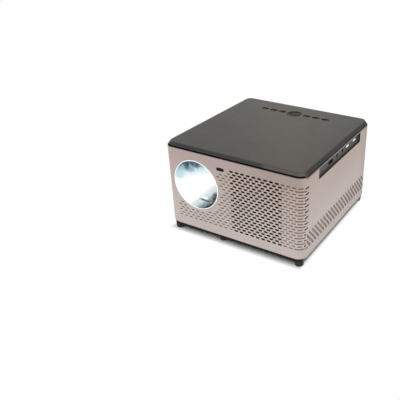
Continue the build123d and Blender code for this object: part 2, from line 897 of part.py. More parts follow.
rear_glass_y = barrel_y + barrel_len - glass_rear_crown - glass_rear_sink
with BuildPart() as rear_lens:
    with BuildSketch(lens_plane):
        with BuildLine():
            Line((rear_glass_y - glass_rear_t, 0), (rear_glass_y + glass_rear_crown, 0))
            RadiusArc(
                (rear_glass_y + glass_rear_crown, 0),
                (rear_glass_y, barrel_bore_r),
                -(barrel_bore_r ** 2 + glass_rear_crown ** 2) / (2 * glass_rear_crown),
            )
            Line((rear_glass_y, barrel_bore_r), (rear_glass_y - glass_rear_t, barrel_bore_r))
            Line((rear_glass_y - glass_rear_t, barrel_bore_r), (rear_glass_y - glass_rear_t, 0))
        make_face()
    revolve(axis=lens_axis)
rear_lens.part.label = "rear_lens"
export_step(rear_lens.part, "parts/rear_lens.step")

# dark window of the remote-control receiver
with BuildPart() as ir_window:
    with BuildSketch(facing_front(front_y)):
        with Locations((ir_x, shell_z + ir_up)):
            SlotOverall(ir_w, ir_h)
    extrude(amount=-wall)
    with BuildSketch(facing_front(front_y + wall)):
        with Locations((ir_x, shell_z + ir_up)):
            SlotOverall(ir_w + 2 * ir_flange, ir_h + 2 * ir_flange)
    extrude(amount=-flange_t)
ir_window.part.label = "ir_window"
export_step(ir_window.part, "parts/ir_window.step")

# ================= optical engine =================

with BuildPart() as engine_housing:
    with BuildSketch(facing_front(engine_rear)):
        with Locations((lens_x, lens_z)):
            RectangleRounded(engine_w, engine_h, engine_round)
    extrude(amount=engine_len)
    with BuildSketch(facing_front(engine_rear - engine_wall)):
        with Locations((lens_x, lens_z)):
            Rectangle(engine_w - 2 * engine_wall, engine_h - 2 * engine_wall)
    extrude(amount=engine_len - 2 * engine_wall, mode=Mode.SUBTRACT)
    with BuildSketch(facing_front(engine_front)):
        with Locations((lens_x, lens_z)):
            Circle(engine_bore_r)
    extrude(amount=-2 * engine_wall, mode=Mode.SUBTRACT)
    with BuildSketch(facing_front(engine_rear)):
        with Locations((lens_x, lens_z)):
            Rectangle(led_window, led_window)
    extrude(amount=2 * engine_wall, mode=Mode.SUBTRACT)
engine_housing.part.label = "engine_housing"
export_step(engine_housing.part, "parts/engine_housing.step")

plate_w = engine_w - 2 * engine_wall - 2 * plate_gap
plate_h = engine_h - 2 * engine_wall - 2 * plate_gap
with BuildPart() as condenser_lens:
    with BuildSketch(facing_front(engine_front + condenser_at)):
        with Locations((lens_x, lens_z)):
            Rectangle(plate_w, plate_h)
    extrude(amount=plate_t)
    with BuildSketch(facing_front(engine_front + condenser_at - plate_t)):
        with Locations((lens_x, lens_z)):
            Circle(plate_h / 2 - condenser_margin)
    extrude(amount=condenser_bulge, taper=condenser_taper)
condenser_lens.part.label = "condenser_lens"
export_step(condenser_lens.part, "parts/condenser_lens.step")

with BuildPart() as fresnel_lenses:
    for at in (fresnel_rear_at, fresnel_front_at):
        with BuildSketch(facing_front(engine_front + at)):
            with Locations((lens_x, lens_z)):
                Rectangle(plate_w, plate_h)
        extrude(amount=plate_t)
fresnel_lenses.part.label = "fresnel_lenses"
export_step(fresnel_lenses.part, "parts/fresnel_lenses.step")

with BuildPart() as lcd_panel:
    with BuildSketch(facing_front(engine_front + panel_at)):
        with Locations((lens_x, lens_z)):
            Rectangle(plate_w, plate_h)
    extrude(amount=plate_t + lcd_extra)
    with BuildSketch(facing_front(engine_front + panel_at - plate_t - lcd_extra)):
        with Locations((lens_x, lens_z)):
            Rectangle(plate_w - 2 * lcd_frame, plate_h - 2 * lcd_frame)
    extrude(amount=-lcd_extra, mode=Mode.SUBTRACT)
lcd_panel.part.label = "lcd_panel"
export_step(lcd_panel.part, "parts/lcd_panel.step")

with BuildPart() as led_module:
    with BuildSketch(facing_front(engine_rear + led_t)):
        with Locations((lens_x, lens_z)):
            RectangleRounded(led_size, led_size, engine_round)
    extrude(amount=led_t)
    with BuildSketch(facing_front(engine_rear)):
        with Locations((lens_x, lens_z)):
            Rectangle(led_window - 2 * led_inset, led_window - 2 * led_inset)
    extrude(amount=engine_wall)
led_module.part.label = "led_module"
export_step(led_module.part, "parts/led_module.step")

sink_y = inner_face_y - fan_t - sink_gap
sink_len = sink_y - engine_rear - led_t
fin_pitch = (sink_w - fin_t) / (fin_count - 1)
with BuildPart() as heat_sink:
    with BuildSketch(facing_front(sink_y)):
        with Locations((lens_x, lens_z)):
            with GridLocations(fin_pitch, 1, fin_count, 1):
                Rectangle(fin_t, engine_h - 2 * sink_margin)
    extrude(amount=sink_len - sink_base)
    with BuildSketch(facing_front(sink_y - sink_len + sink_base)):
        with Locations((lens_x, lens_z)):
            Rectangle(sink_w, engine_h - 2 * sink_margin)
    extrude(amount=sink_base)
heat_sink.part.label = "heat_sink"
export_step(heat_sink.part, "parts/heat_sink.step")

# ================= fans =================

blade_root = 2.0


def blade_plane(centre, spin, start, angle):
    """Sketch plane at a blade's root: local x lies along the fan's axis and positive is outwards."""
    out = start.rotate(Axis((0, 0, 0), spin), angle)
    return Plane(origin=Vector(*centre) + out, x_dir=spin, z_dir=out)


# exhaust fan on the rear panel, blowing out
with BuildPart() as exhaust_fan_frame:
    with BuildSketch(facing_front(inner_face_y)):
        with Locations((lens_x, fan_z)):
            RectangleRounded(fan_size, fan_size, fan_round)
            Circle(fan_bore_r, mode=Mode.SUBTRACT)
    extrude(amount=fan_t)
    with BuildSketch(facing_front(inner_face_y)):
        with Locations((lens_x, fan_z)):
            Circle(fan_hub_r)
            with PolarLocations((fan_hub_r + fan_bore_r) / 2, 4, start_angle=45):
                Rectangle(fan_bore_r - fan_hub_r + 2 * strut_over, strut_w)
    extrude(amount=strut_t)
    with BuildSketch(facing_front(inner_face_y - strut_t)):
        with Locations((lens_x, fan_z)):
            Circle(motor_shaft_r)
    extrude(amount=fan_t / 2)
exhaust_fan_frame.part.label = "exhaust_fan_frame"
export_step(exhaust_fan_frame.part, "parts/exhaust_fan_frame.step")

rotor_y = inner_face_y - strut_t - rotor_gap
rotor_len = fan_t - strut_t - 3 * rotor_gap
with BuildPart() as exhaust_fan_rotor:
    with BuildSketch(facing_front(rotor_y)):
        with Locations((lens_x, fan_z)):
            Circle(fan_hub_r)
    extrude(amount=rotor_len)
    for i in range(fan_blades):
        centre = (lens_x, rotor_y - rotor_len / 2, fan_z)
        root = Vector(0, 0, fan_hub_r - blade_root)
        with BuildSketch(blade_plane(centre, (0, 1, 0), root, i * 360 / fan_blades)):
            Rectangle(rotor_len - 2 * blade_short, blade_t, rotation=blade_pitch)
        extrude(amount=fan_bore_r - fan_tip_gap - fan_hub_r)
    with BuildSketch(facing_front(rotor_y)):
        with Locations((lens_x, fan_z)):
            Circle(motor_shaft_r + running)
    extrude(amount=fan_t / 2, mode=Mode.SUBTRACT)
exhaust_fan_rotor.part.label = "exhaust_fan_rotor"
export_step(exhaust_fan_rotor.part, "parts/exhaust_fan_rotor.step")

# intake fan lying over the slots in the base
intake_z = shell_z + intake_stand
with BuildPart() as intake_fan_frame:
    with BuildSketch(level(intake_z)):
        with Locations((lens_x, intake_y)):
            RectangleRounded(intake_size, intake_size, fan_round)
            Circle(intake_bore_r, mode=Mode.SUBTRACT)
    extrude(amount=intake_t)
    with BuildSketch(level(intake_z)):
        with Locations((lens_x, intake_y)):
            Circle(intake_hub_r)
            with PolarLocations((intake_hub_r + intake_bore_r) / 2, 4, start_angle=45):
                Rectangle(intake_bore_r - intake_hub_r + 2 * strut_over, strut_w)
    extrude(amount=intake_strut)
    with BuildSketch(level(intake_z + intake_strut)):
        with Locations((lens_x, intake_y)):
            Circle(motor_shaft_r)
    extrude(amount=intake_t / 2)
intake_fan_frame.part.label = "intake_fan_frame"
export_step(intake_fan_frame.part, "parts/intake_fan_frame.step")

rotor_z = intake_z + intake_strut + rotor_gap
intake_rotor_len = intake_t - intake_strut - 2 * rotor_gap
with BuildPart() as intake_fan_rotor:
    with BuildSketch(level(rotor_z)):
        with Locations((lens_x, intake_y)):
            Circle(intake_hub_r)
    extrude(amount=intake_rotor_len)
    for i in range(fan_blades):
        centre = (lens_x, intake_y, rotor_z + intake_rotor_len / 2)
        root = Vector(intake_hub_r - blade_root, 0, 0)
        with BuildSketch(blade_plane(centre, (0, 0, 1), root, i * 360 / fan_blades)):
            Rectangle(intake_rotor_len - blade_short, blade_t, rotation=blade_pitch)
        extrude(amount=intake_bore_r - fan_tip_gap - intake_hub_r)
    with BuildSketch(level(rotor_z)):
        with Locations((lens_x, intake_y)):
            Circle(motor_shaft_r + running)
    extrude(amount=intake_t / 2, mode=Mode.SUBTRACT)
intake_fan_rotor.part.label = "intake_fan_rotor"
export_step(intake_fan_rotor.part, "parts/intake_fan_rotor.step")

# ================= inner frame and boards =================

deck_front = front_y + deck_from_front
deck_rear = rear_y - deck_from_rear
with BuildPart() as inner_frame:
    with BuildSketch(level(deck_z)):
        with Locations((0, (deck_front + deck_rear) / 2)):
            Rectangle(2 * leg_x, deck_rear - deck_front)
    extrude(amount=deck_t)
    with BuildSketch(level(shell_z)):
        for y in (leg_front_y, leg_rear_y):
            with Locations((-leg_x + deck_t / 2, y), (leg_x - deck_t / 2, y)):
                Rectangle(deck_t, leg_w)
    extrude(amount=deck_z - shell_z)
    with BuildSketch(level(shell_z)):
        for y in (leg_front_y, leg_rear_y):
            with Locations((-tab_x, y), (tab_x, y)):
                Rectangle(leg_w, leg_w)
                Circle(screw_r + hole_clear, mode=Mode.SUBTRACT)
    extrude(amount=deck_t)
inner_frame.part.label = "inner_frame"
export_step(inner_frame.part, "parts/inner_frame.step")

board_top = shell_z + board_up
main_x0 = drive_x1 + board_gap
main_x1 = panel_x - panel_t - seat_gap
main_x = (main_x0 + main_x1) / 2
main_y = window_y + main_shift
with BuildPart() as main_board:
    with BuildSketch(level(board_top - board_t)):
        with Locations((main_x, main_y)):
            RectangleRounded(main_x1 - main_x0, main_len, board_round)
    extrude(amount=board_t)
    with BuildSketch(level(deck_z + deck_t)):
        with Locations((main_x, main_y)):
            with GridLocations(main_x1 - main_x0 - 2 * main_post_x, main_len - 2 * main_post_y, 2, 2):
                Circle(main_post_r)
    extrude(amount=board_top - board_t - deck_z - deck_t)
    with BuildSketch(level(board_top)):
        with Locations((main_x0 + chip_from_edge, main_y + chip_shift)):
            Rectangle(chip_size, chip_size)
        with Locations((main_x0 + chip_from_edge + memory_pitch / 4, main_y + memory_shift)):
            with GridLocations(memory_pitch, 1, 2, 1):
                Rectangle(memory_w, memory_len)
    extrude(amount=chip_t)
main_board.part.label = "main_board"
export_step(main_board.part, "parts/main_board.step")

with BuildPart() as power_board:
    with BuildSketch(level(shell_z + power_up)):
        with Locations((power_x, power_y)):
            RectangleRounded(power_w, power_len, board_round)
    extrude(amount=board_t)
    with BuildSketch(level(shell_z + power_up + board_t)):
        with Locations((power_x - power_w / 4, power_y - power_len / 5)):
            Rectangle(transformer_w, transformer_len)
    extrude(amount=transformer_h)
    with BuildSketch(level(shell_z + power_up + board_t)):
        with Locations((power_x + power_w / 4, power_y - power_len / 4)):
            with GridLocations(2.5 * capacitor_r, 1, 2, 1):
                Circle(capacitor_r)
    extrude(amount=capacitor_h)
power_board.part.label = "power_board"
export_step(power_board.part, "parts/power_board.step")

# ================= sockets =================

hdmi_y = window_y + hdmi_from_mid
usb_front_y = window_y + usb_front_from_mid
usb_rear_y = window_y + usb_rear_from_mid
jack_front_y = window_y + jack_front_from_mid
jack_rear_y = window_y + jack_rear_from_mid
with BuildPart() as port_panel:
    with BuildSketch(facing_right(panel_x)):
        with Locations((window_y, window_z - (panel_over - panel_over_top) / 2)):
            Rectangle(window_len + 2 * panel_over, window_h + panel_over + panel_over_top)
    extrude(amount=-panel_t)
    with BuildSketch(facing_right(panel_x)):
        with Locations((window_y, window_z - (panel_over - panel_over_top) / 2)):
            Rectangle(window_len + 2 * panel_over, window_h + panel_over + panel_over_top)
        with Locations((window_y, window_z)):
            RectangleRounded(window_len, window_h, window_r, mode=Mode.SUBTRACT)
    extrude(amount=window_recess - wall)
    with BuildSketch(facing_right(panel_x)):
        with Locations((hdmi_y, board_top + hdmi_h / 2)):
            Rectangle(hdmi_w + 2 * seat_gap, hdmi_h + 2 * seat_gap)
        with Locations((usb_front_y, board_top + usb_h / 2), (usb_rear_y, board_top + usb_h / 2)):
            Rectangle(usb_w + 2 * seat_gap, usb_h + 2 * seat_gap)
        with Locations((jack_front_y, board_top + jack_body / 2), (jack_rear_y, board_top + jack_body / 2)):
            Circle(jack_nose_r + seat_gap)
    extrude(amount=-panel_t, mode=Mode.SUBTRACT)
port_panel.part.label = "port_panel"
export_step(port_panel.part, "parts/port_panel.step")

with BuildPart() as hdmi_port:
    with BuildSketch(facing_right(panel_x)):
        with Locations((hdmi_y, board_top + hdmi_h / 2)):
            Rectangle(hdmi_w, hdmi_h)
    extrude(amount=-hdmi_len)
    chamfer(hdmi_port.edges().filter_by(Axis.X).group_by(Axis.Z)[0], hdmi_chamfer)
    with BuildSketch(facing_right(panel_x)):
        with Locations((hdmi_y, board_top + hdmi_h / 2)):
            Rectangle(hdmi_w - 2 * hdmi_skin, hdmi_h - 2 * hdmi_skin)
    extrude(amount=-hdmi_len + port_back, mode=Mode.SUBTRACT)
    with BuildSketch(facing_right(panel_x - hdmi_len + port_back)):
        with Locations((hdmi_y, board_top + hdmi_h / 2 + hdmi_tongue_up)):
            Rectangle(hdmi_tongue_w, hdmi_tongue_t)
    extrude(amount=hdmi_len - port_back - tongue_short)
hdmi_port.part.label = "hdmi_port"
export_step(hdmi_port.part, "parts/hdmi_port.step")

for usb_name, y in (("usb_port_front", usb_front_y), ("usb_port_rear", usb_rear_y)):
    with BuildPart() as usb_port:
        with BuildSketch(facing_right(panel_x)):
            with Locations((y, board_top + usb_h / 2)):
                Rectangle(usb_w, usb_h)
        extrude(amount=-usb_len)
        with BuildSketch(facing_right(panel_x)):
            with Locations((y, board_top + usb_h / 2)):
                Rectangle(usb_w - 2 * port_skin, usb_h - 2 * port_skin)
        extrude(amount=-usb_len + port_back, mode=Mode.SUBTRACT)
        with BuildSketch(facing_right(panel_x - usb_len + port_back)):
            with Locations((y, board_top + usb_h / 2 + usb_tongue_up)):
                Rectangle(usb_tongue_w, usb_tongue_t)
        extrude(amount=usb_len - port_back - tongue_short)
    usb_port.part.label = usb_name
    export_step(usb_port.part, f"parts/{usb_name}.step")

for jack_name, y in (("headphone_jack", jack_front_y), ("av_jack", jack_rear_y)):
    with BuildPart() as jack:
        with BuildSketch(facing_right(panel_x - panel_t - seat_gap)):
            with Locations((y, board_top + jack_body / 2)):
                Rectangle(jack_body, jack_body)
        extrude(amount=-jack_len)
        with BuildSketch(facing_right(panel_x - panel_t - seat_gap)):
            with Locations((y, board_top + jack_body / 2)):
                Circle(jack_nose_r)
        extrude(amount=panel_t + seat_gap)
        with BuildSketch(facing_right(panel_x)):
            with Locations((y, board_top + jack_body / 2)):
                Circle(jack_bore_r)
        extrude(amount=-jack_depth, mode=Mode.SUBTRACT)
    jack.part.label = jack_name
    export_step(jack.part, f"parts/{jack_name}.step")

# mains inlet with two pins in a figure-of-eight well
with BuildPart() as mains_inlet:
    with BuildSketch(facing_front(rear_y)):
        with Locations((inlet_x, inlet_z)):
            SlotOverall(inlet_w, inlet_h)
    extrude(amount=wall + flange_t)
    with BuildSketch(facing_front(inner_face_y)):
        with Locations((inlet_x, inlet_z)):
            Rectangle(inlet_w + 2 * inlet_flange, inlet_h + 2 * inlet_flange)
    extrude(amount=inlet_len - wall - flange_t)
    with BuildSketch(facing_front(rear_y)):
        with Locations((inlet_x, inlet_z)):
            with GridLocations(inlet_pin_pitch, 1, 2, 1):
                Circle(inlet_lobe_r)
    extrude(amount=inlet_len - inlet_floor, mode=Mode.SUBTRACT)
    with BuildSketch(facing_front(rear_y - pin_sink)):
        with Locations((inlet_x, inlet_z)):
            with GridLocations(inlet_pin_pitch, 1, 2, 1):
                Circle(inlet_pin_r)
    extrude(amount=inlet_len - inlet_floor)
mains_inlet.part.label = "mains_inlet"
export_step(mains_inlet.part, "parts/mains_inlet.step")

# ================= speakers =================

speaker_x = grille_mid + speaker_shift
speaker_back = front_y + wall + speaker_depth
speaker_front = front_y + wall + speaker_gap
cone_y = speaker_front + cone_t / 2
speaker_heights = (shell_z + speaker_lower_up, shell_z + speaker_upper_up)
with BuildPart() as speaker_baskets:
    for z in speaker_heights:
        with BuildSketch(facing_front(speaker_front)):
            with Locations((speaker_x, z)):
                RectangleRounded(speaker_size, speaker_size, speaker_round)
        extrude(amount=speaker_gap)
        with BuildSketch(facing_front(speaker_front)):
            with Locations((speaker_x, z)):
                Circle(speaker_r + speaker_rim)
        extrude(amount=-speaker_depth + speaker_gap, taper=basket_taper)
        with BuildSketch(facing_front(speaker_back + magnet_h)):
            with Locations((speaker_x, z)):
                Circle(magnet_r)
        extrude(amount=magnet_h)
        with BuildSketch(facing_front(front_y + wall)):
            with Locations((speaker_x, z)):
                Circle(speaker_r)
        extrude(amount=-speaker_depth + speaker_gap, taper=basket_taper, mode=Mode.SUBTRACT)
speaker_baskets.part.label = "speaker_baskets"
export_step(speaker_baskets.part, "parts/speaker_baskets.step")

with BuildPart() as speaker_cones:
    for z in speaker_heights:
        with BuildSketch(facing_front(cone_y)):
            with Locations((speaker_x, z)):
                Circle(speaker_r - cone_edge)
        extrude(amount=-cone_h, taper=cone_taper)
        with BuildSketch(facing_front(cone_y - cone_t)):
            with Locations((speaker_x, z)):
                Circle(speaker_r - cone_edge - cone_t)
        extrude(amount=-cone_h, taper=cone_taper, mode=Mode.SUBTRACT)
        with BuildSketch(facing_front(speaker_back - speaker_gap)):
            with Locations((speaker_x, z)):
                Circle(voice_r)
        extrude(amount=voice_len)
speaker_cones.part.label = "speaker_cones"
export_step(speaker_cones.part, "parts/speaker_cones.step")

# ================= slim disc drive =================

drive_mid_x = (drive_x0 + drive_x1) / 2
hub_x = bezel_back + hub_from_bezel
tray_z = drive_z + drive_skin + tray_lift
tray_top = tray_z + tray_t
tray_w = drive_w - 2 * (drive_skin + rail_t + 2 * drive_gap)
recess_z = tray_top - disc_recess

with BuildPart() as tray_surround:
    with BuildSketch(facing_right(-panel_x)):
        with Locations((window_y, window_z - (panel_over - panel_over_top) / 2)):
            Rectangle(window_len + 2 * panel_over, window_h + panel_over + panel_over_top)
    extrude(amount=panel_t)
    with BuildSketch(facing_right(-panel_x)):
        with Locations((window_y, window_z - (panel_over - panel_over_top) / 2)):
            Rectangle(window_len + 2 * panel_over, window_h + panel_over + panel_over_top)
        with Locations((window_y, window_z)):
            RectangleRounded(window_len, window_h, window_r, mode=Mode.SUBTRACT)
    extrude(amount=wall - window_recess)
    with BuildSketch(facing_right(-panel_x)):
        with Locations((window_y, window_z)):
            Rectangle(drive_w, drive_h)
    extrude(amount=panel_t, mode=Mode.SUBTRACT)
tray_surround.part.label = "tray_surround"
export_step(tray_surround.part, "parts/tray_surround.step")

with BuildPart() as drive_chassis:
    with BuildSketch(level(drive_z)):
        with Locations((drive_mid_x, window_y)):
            Rectangle(drive_len, drive_w)
    extrude(amount=drive_h - drive_skin)
    with BuildSketch(level(drive_z + drive_skin)):
        with Locations((drive_mid_x - drive_skin, window_y)):
            Rectangle(drive_len, drive_w - 2 * drive_skin)
    extrude(amount=drive_h, mode=Mode.SUBTRACT)
drive_chassis.part.label = "drive_chassis"
export_step(drive_chassis.part, "parts/drive_chassis.step")

with BuildPart() as drive_cover:
    with BuildSketch(level(drive_z + drive_h - drive_skin)):
        with Locations((drive_mid_x, window_y)):
            Rectangle(drive_len, drive_w)
    extrude(amount=drive_skin)
    with BuildSketch(level(drive_z + drive_h - drive_skin)):
        with Locations((hub_x, window_y)):
            Circle(hub_flange_r + cover_ring)
            Circle(hub_flange_r + cover_ring - 1, mode=Mode.SUBTRACT)
    extrude(amount=drive_skin / 2, mode=Mode.SUBTRACT)
drive_cover.part.label = "drive_cover"
export_step(drive_cover.part, "parts/drive_cover.step")

rail_y = tray_w / 2 + drive_gap + rail_t / 2
with BuildPart() as tray_rails:
    with BuildSketch(level(drive_z + drive_skin + drive_gap)):
        with Locations((drive_x0 + rail_len / 2, window_y)):
            with GridLocations(1, 2 * rail_y, 1, 2):
                Rectangle(rail_len, rail_t)
    extrude(amount=rail_h)
tray_rails.part.label = "tray_rails"
export_step(tray_rails.part, "parts/tray_rails.step")

pocket_x0 = hub_x - pocket_front
pocket_x1 = hub_x + sled_start + sled_len + sled_travel + pocket_spare
rod_z = tray_z + pocket_floor + sled_gap + sled_h / 2
eject_z = tray_z + tray_t / 2
with BuildPart() as disc_tray:
    with BuildSketch(level(tray_z)):
        with Locations((bezel_back + tray_len / 2, window_y)):
            Rectangle(tray_len, tray_w)
    extrude(amount=tray_t)
    with BuildSketch(level(recess_z)):
        with Locations((hub_x, window_y)):
            Circle(disc_r + disc_gap)
    extrude(amount=disc_recess, mode=Mode.SUBTRACT)
    with BuildSketch(level(tray_z + pocket_floor)):
        with Locations(((pocket_x0 + pocket_x1) / 2, window_y)):
            Rectangle(pocket_x1 - pocket_x0, 2 * pocket_half)
    extrude(amount=tray_t, mode=Mode.SUBTRACT)
    with BuildSketch(facing_right(bezel_back)):
        with Locations((window_y + eject_y, eject_z)):
            Rectangle(eject_w + 2 * eject_room, eject_h + 1.4 * eject_room)
    extrude(amount=bezel_t, mode=Mode.SUBTRACT)
    with BuildSketch(facing_right(pocket_x0 - journal_len - drive_gap)):
        with Locations((window_y + screw_y, rod_z)):
            Circle(journal_r + running)
    extrude(amount=pocket_x1 - pocket_x0 + 2 * (journal_len + drive_gap), mode=Mode.SUBTRACT)
disc_tray.part.label = "disc_tray"
export_step(disc_tray.part, "parts/disc_tray.step")

with BuildPart() as tray_bezel:
    with BuildSketch(facing_right(bezel_back)):
        with Locations((window_y, window_z)):
            RectangleRounded(drive_w - 2 * bezel_gap, drive_h - 2 * bezel_gap, bezel_round)
    extrude(amount=-bezel_t)
    with BuildSketch(facing_right(bezel_back)):
        with Locations((window_y + eject_y, eject_z)):
            RectangleRounded(eject_w, eject_h, eject_round)
        with Locations((window_y + eject_y - release_shift, eject_z)):
            Circle(release_r)
    extrude(amount=-bezel_t, mode=Mode.SUBTRACT)
tray_bezel.part.label = "tray_bezel"
export_step(tray_bezel.part, "parts/tray_bezel.step")

with BuildPart() as eject_button:
    with BuildSketch(facing_right(bezel_back + eject_rest)):
        with Locations((window_y + eject_y, eject_z)):
            RectangleRounded(eject_w - 2 * eject_gap, eject_h - 2 * eject_gap, eject_round - eject_gap)
    extrude(amount=-bezel_t - eject_rest - eject_travel)
    with BuildSketch(facing_right(bezel_back + eject_rest)):
        with Locations((window_y + eject_y, eject_z)):
            Rectangle(eject_w + 2 * eject_flange_w, eject_h + 2 * eject_flange_h)
    extrude(amount=eject_flange_t)
eject_button.part.label = "eject_button"
export_step(eject_button.part, "parts/eject_button.step")

motor_z = tray_z + pocket_floor
with BuildPart() as spindle_motor:
    with BuildSketch(level(motor_z)):
        with Locations((hub_x, window_y)):
            Circle(motor_r)
    extrude(amount=motor_h)
    with BuildSketch(level(motor_z + motor_floor)):
        with Locations((hub_x, window_y)):
            Circle(motor_shaft_r + running)
    extrude(amount=motor_h, mode=Mode.SUBTRACT)
spindle_motor.part.label = "spindle_motor"
export_step(spindle_motor.part, "parts/spindle_motor.step")

hub_z = motor_z + motor_h + hub_gap
shaft_len = hub_z - motor_z - motor_floor - shaft_gap
with BuildPart() as disc_hub:
    with BuildSketch(level(hub_z)):
        with Locations((hub_x, window_y)):
            Circle(hub_flange_r)
    extrude(amount=hub_flange_t)
    with BuildSketch(level(hub_z + hub_flange_t)):
        with Locations((hub_x, window_y)):
            Circle(hub_r)
    extrude(amount=hub_h)
    chamfer(disc_hub.edges().group_by(Axis.Z)[-1], hub_chamfer)
    with BuildSketch(level(hub_z - shaft_len)):
        with Locations((hub_x, window_y)):
            Circle(motor_shaft_r)
    extrude(amount=shaft_len)
disc_hub.part.label = "disc_hub"
export_step(disc_hub.part, "parts/disc_hub.step")

sled_x0 = hub_x + sled_start
with BuildPart() as pickup_sled:
    with BuildSketch(level(rod_z - sled_h / 2)):
        with Locations((sled_x0 + sled_len / 2, window_y + (screw_y - rod_y) / 2)):
            Rectangle(sled_len, screw_y + rod_y + 2 * sled_edge)
    extrude(amount=sled_h)
    with BuildSketch(level(rod_z + sled_h / 2)):
        with Locations((sled_x0 + sled_len / 2, window_y)):
            Circle(sled_lens_r)
    extrude(amount=sled_lens_h)
    with BuildSketch(facing_right(sled_x0)):
        with Locations((window_y - rod_y, rod_z), (window_y + rod_y, rod_z), (window_y + screw_y, rod_z)):
            Circle(rod_r + running)
    extrude(amount=sled_len, mode=Mode.SUBTRACT)
pickup_sled.part.label = "pickup_sled"
export_step(pickup_sled.part, "parts/pickup_sled.step")

with BuildPart() as guide_rods:
    with BuildSketch(facing_right(pocket_x0)):
        with Locations((window_y - rod_y, rod_z), (window_y + rod_y, rod_z)):
            Circle(rod_r)
    extrude(amount=pocket_x1 - pocket_x0)
guide_rods.part.label = "guide_rods"
export_step(guide_rods.part, "parts/guide_rods.step")

with BuildPart() as lead_screw:
    with BuildSketch(facing_right(pocket_x0 + screw_gap)):
        with Locations((window_y + screw_y, rod_z)):
            Circle(rod_r)
    extrude(amount=pocket_x1 - pocket_x0 - 2 * screw_gap)
    with BuildSketch(facing_right(pocket_x0 - journal_len)):
        with Locations((window_y + screw_y, rod_z)):
            Circle(journal_r)
    extrude(amount=pocket_x1 - pocket_x0 + 2 * journal_len)
lead_screw.part.label = "lead_screw"
export_step(lead_screw.part, "parts/lead_screw.step")
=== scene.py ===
import bpy
import bmesh
import json
import math
from mathutils import Matrix, Vector
from mathutils.geometry import delaunay_2d_cdt

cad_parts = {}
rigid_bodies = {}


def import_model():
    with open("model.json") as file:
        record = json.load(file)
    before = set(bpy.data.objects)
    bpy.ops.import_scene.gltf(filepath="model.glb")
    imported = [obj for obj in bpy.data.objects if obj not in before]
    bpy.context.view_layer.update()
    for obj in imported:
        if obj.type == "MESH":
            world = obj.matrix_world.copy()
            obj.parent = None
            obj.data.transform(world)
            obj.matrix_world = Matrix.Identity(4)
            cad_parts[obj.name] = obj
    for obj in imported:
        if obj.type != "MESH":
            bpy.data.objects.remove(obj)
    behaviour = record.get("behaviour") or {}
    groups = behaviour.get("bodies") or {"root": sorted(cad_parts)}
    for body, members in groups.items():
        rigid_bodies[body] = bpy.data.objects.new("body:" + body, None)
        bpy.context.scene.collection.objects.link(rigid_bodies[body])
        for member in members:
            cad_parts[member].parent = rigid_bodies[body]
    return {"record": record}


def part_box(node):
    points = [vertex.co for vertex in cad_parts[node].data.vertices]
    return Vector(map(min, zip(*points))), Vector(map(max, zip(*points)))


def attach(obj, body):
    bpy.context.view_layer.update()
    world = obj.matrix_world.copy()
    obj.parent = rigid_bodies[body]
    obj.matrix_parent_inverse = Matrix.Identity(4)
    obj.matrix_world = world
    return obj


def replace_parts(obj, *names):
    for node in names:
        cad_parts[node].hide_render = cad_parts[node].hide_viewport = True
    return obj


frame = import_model()
for spare in ("Cube", "Light", "Camera"):
    if spare in bpy.data.objects:
        bpy.data.objects.remove(bpy.data.objects[spare])
bpy.context.view_layer.update()
mm = 0.001
print("frame loaded")


def boxOf(name):
    return [Vector(corner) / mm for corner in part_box(name)]


def added(name, data):
    made = bpy.data.objects.new(name, data)
    bpy.context.collection.objects.link(made)
    return made


def facing(way):
    # the rotation of a camera or lamp that looks back along a way
    return way.to_track_quat("Z", "Y").to_euler()


# a socket, on which an expression adds its nodes
class Wire:
    def __init__(self, tree, socket=None):
        self.tree = tree
        self.socket = socket

    def node(self, kind, settings=None, inputs=None, out=0):
        made = self.tree.nodes.new(kind)
        for name, value in (settings or {}).items():
            setattr(made, name, value)
        for name, value in (inputs or {}).items():
            feed(self.tree, made.inputs[name], value)
        return Wire(self.tree, made.outputs[out])

    def math(self, operation, *values):
        return self.node("ShaderNodeMath", {"operation": operation}, dict(enumerate(values)))

    def __add__(self, other):
        return self.math("ADD", self, other)

    def __radd__(self, other):
        return self.math("ADD", other, self)

    def __sub__(self, other):
        return self.math("SUBTRACT", self, other)

    def __rsub__(self, other):
        return self.math("SUBTRACT", other, self)

    def __mul__(self, other):
        return self.math("MULTIPLY", self, other)

    def __rmul__(self, other):
        return self.math("MULTIPLY", other, self)

    def __truediv__(self, other):
        return self.math("DIVIDE", self, other)

    def __rtruediv__(self, other):
        return self.math("DIVIDE", other, self)

    def __pow__(self, other):
        return self.math("POWER", self, other)

    def __abs__(self):
        return self.math("ABSOLUTE", self)

    def most(self, other):
        return self.math("MAXIMUM", self, other)

    def ramp(self, low, high, start=0.0, end=1.0):
        return self.node("ShaderNodeMapRange", {"interpolation_type": "SMOOTHSTEP"},
                         {"Value": self, "From Min": low, "From Max": high, "To Min": start, "To Max": end})

    def level(self, start=0.0, end=1.0):
        # a noise, which mostly lies from 0.3 to 0.7, spread over the whole range
        return self.ramp(0.3, 0.7, start, end)

    def tint(self, first, second, blend="MIX"):
        return self.node("ShaderNodeMix", {"data_type": "RGBA", "blend_type": blend, "clamp_factor": True},
                         {0: self, 6: first, 7: second}, out=2)

    def shade(self, first, second):
        return self.tint(first, second, "MULTIPLY")

    def axes(self):
        parts = self.node("ShaderNodeSeparateXYZ", None, {0: self}).socket.node.outputs
        return [Wire(self.tree, part) for part in parts]

    def stretched(self, scale):
        return self.node("ShaderNodeVectorMath", {"operation": "MULTIPLY"}, {0: self, 1: scale})

    def noise(self, scale, detail=2.0, roughness=0.5):
        return self.node("ShaderNodeTexNoise", None,
                         {"Vector": self, "Scale": scale, "Detail": detail, "Roughness": roughness})

    def bump(self, strength):
        return self.node("ShaderNodeBump", None,
                         {"Strength": strength, "Distance": 0.1 * mm, "Height": self})


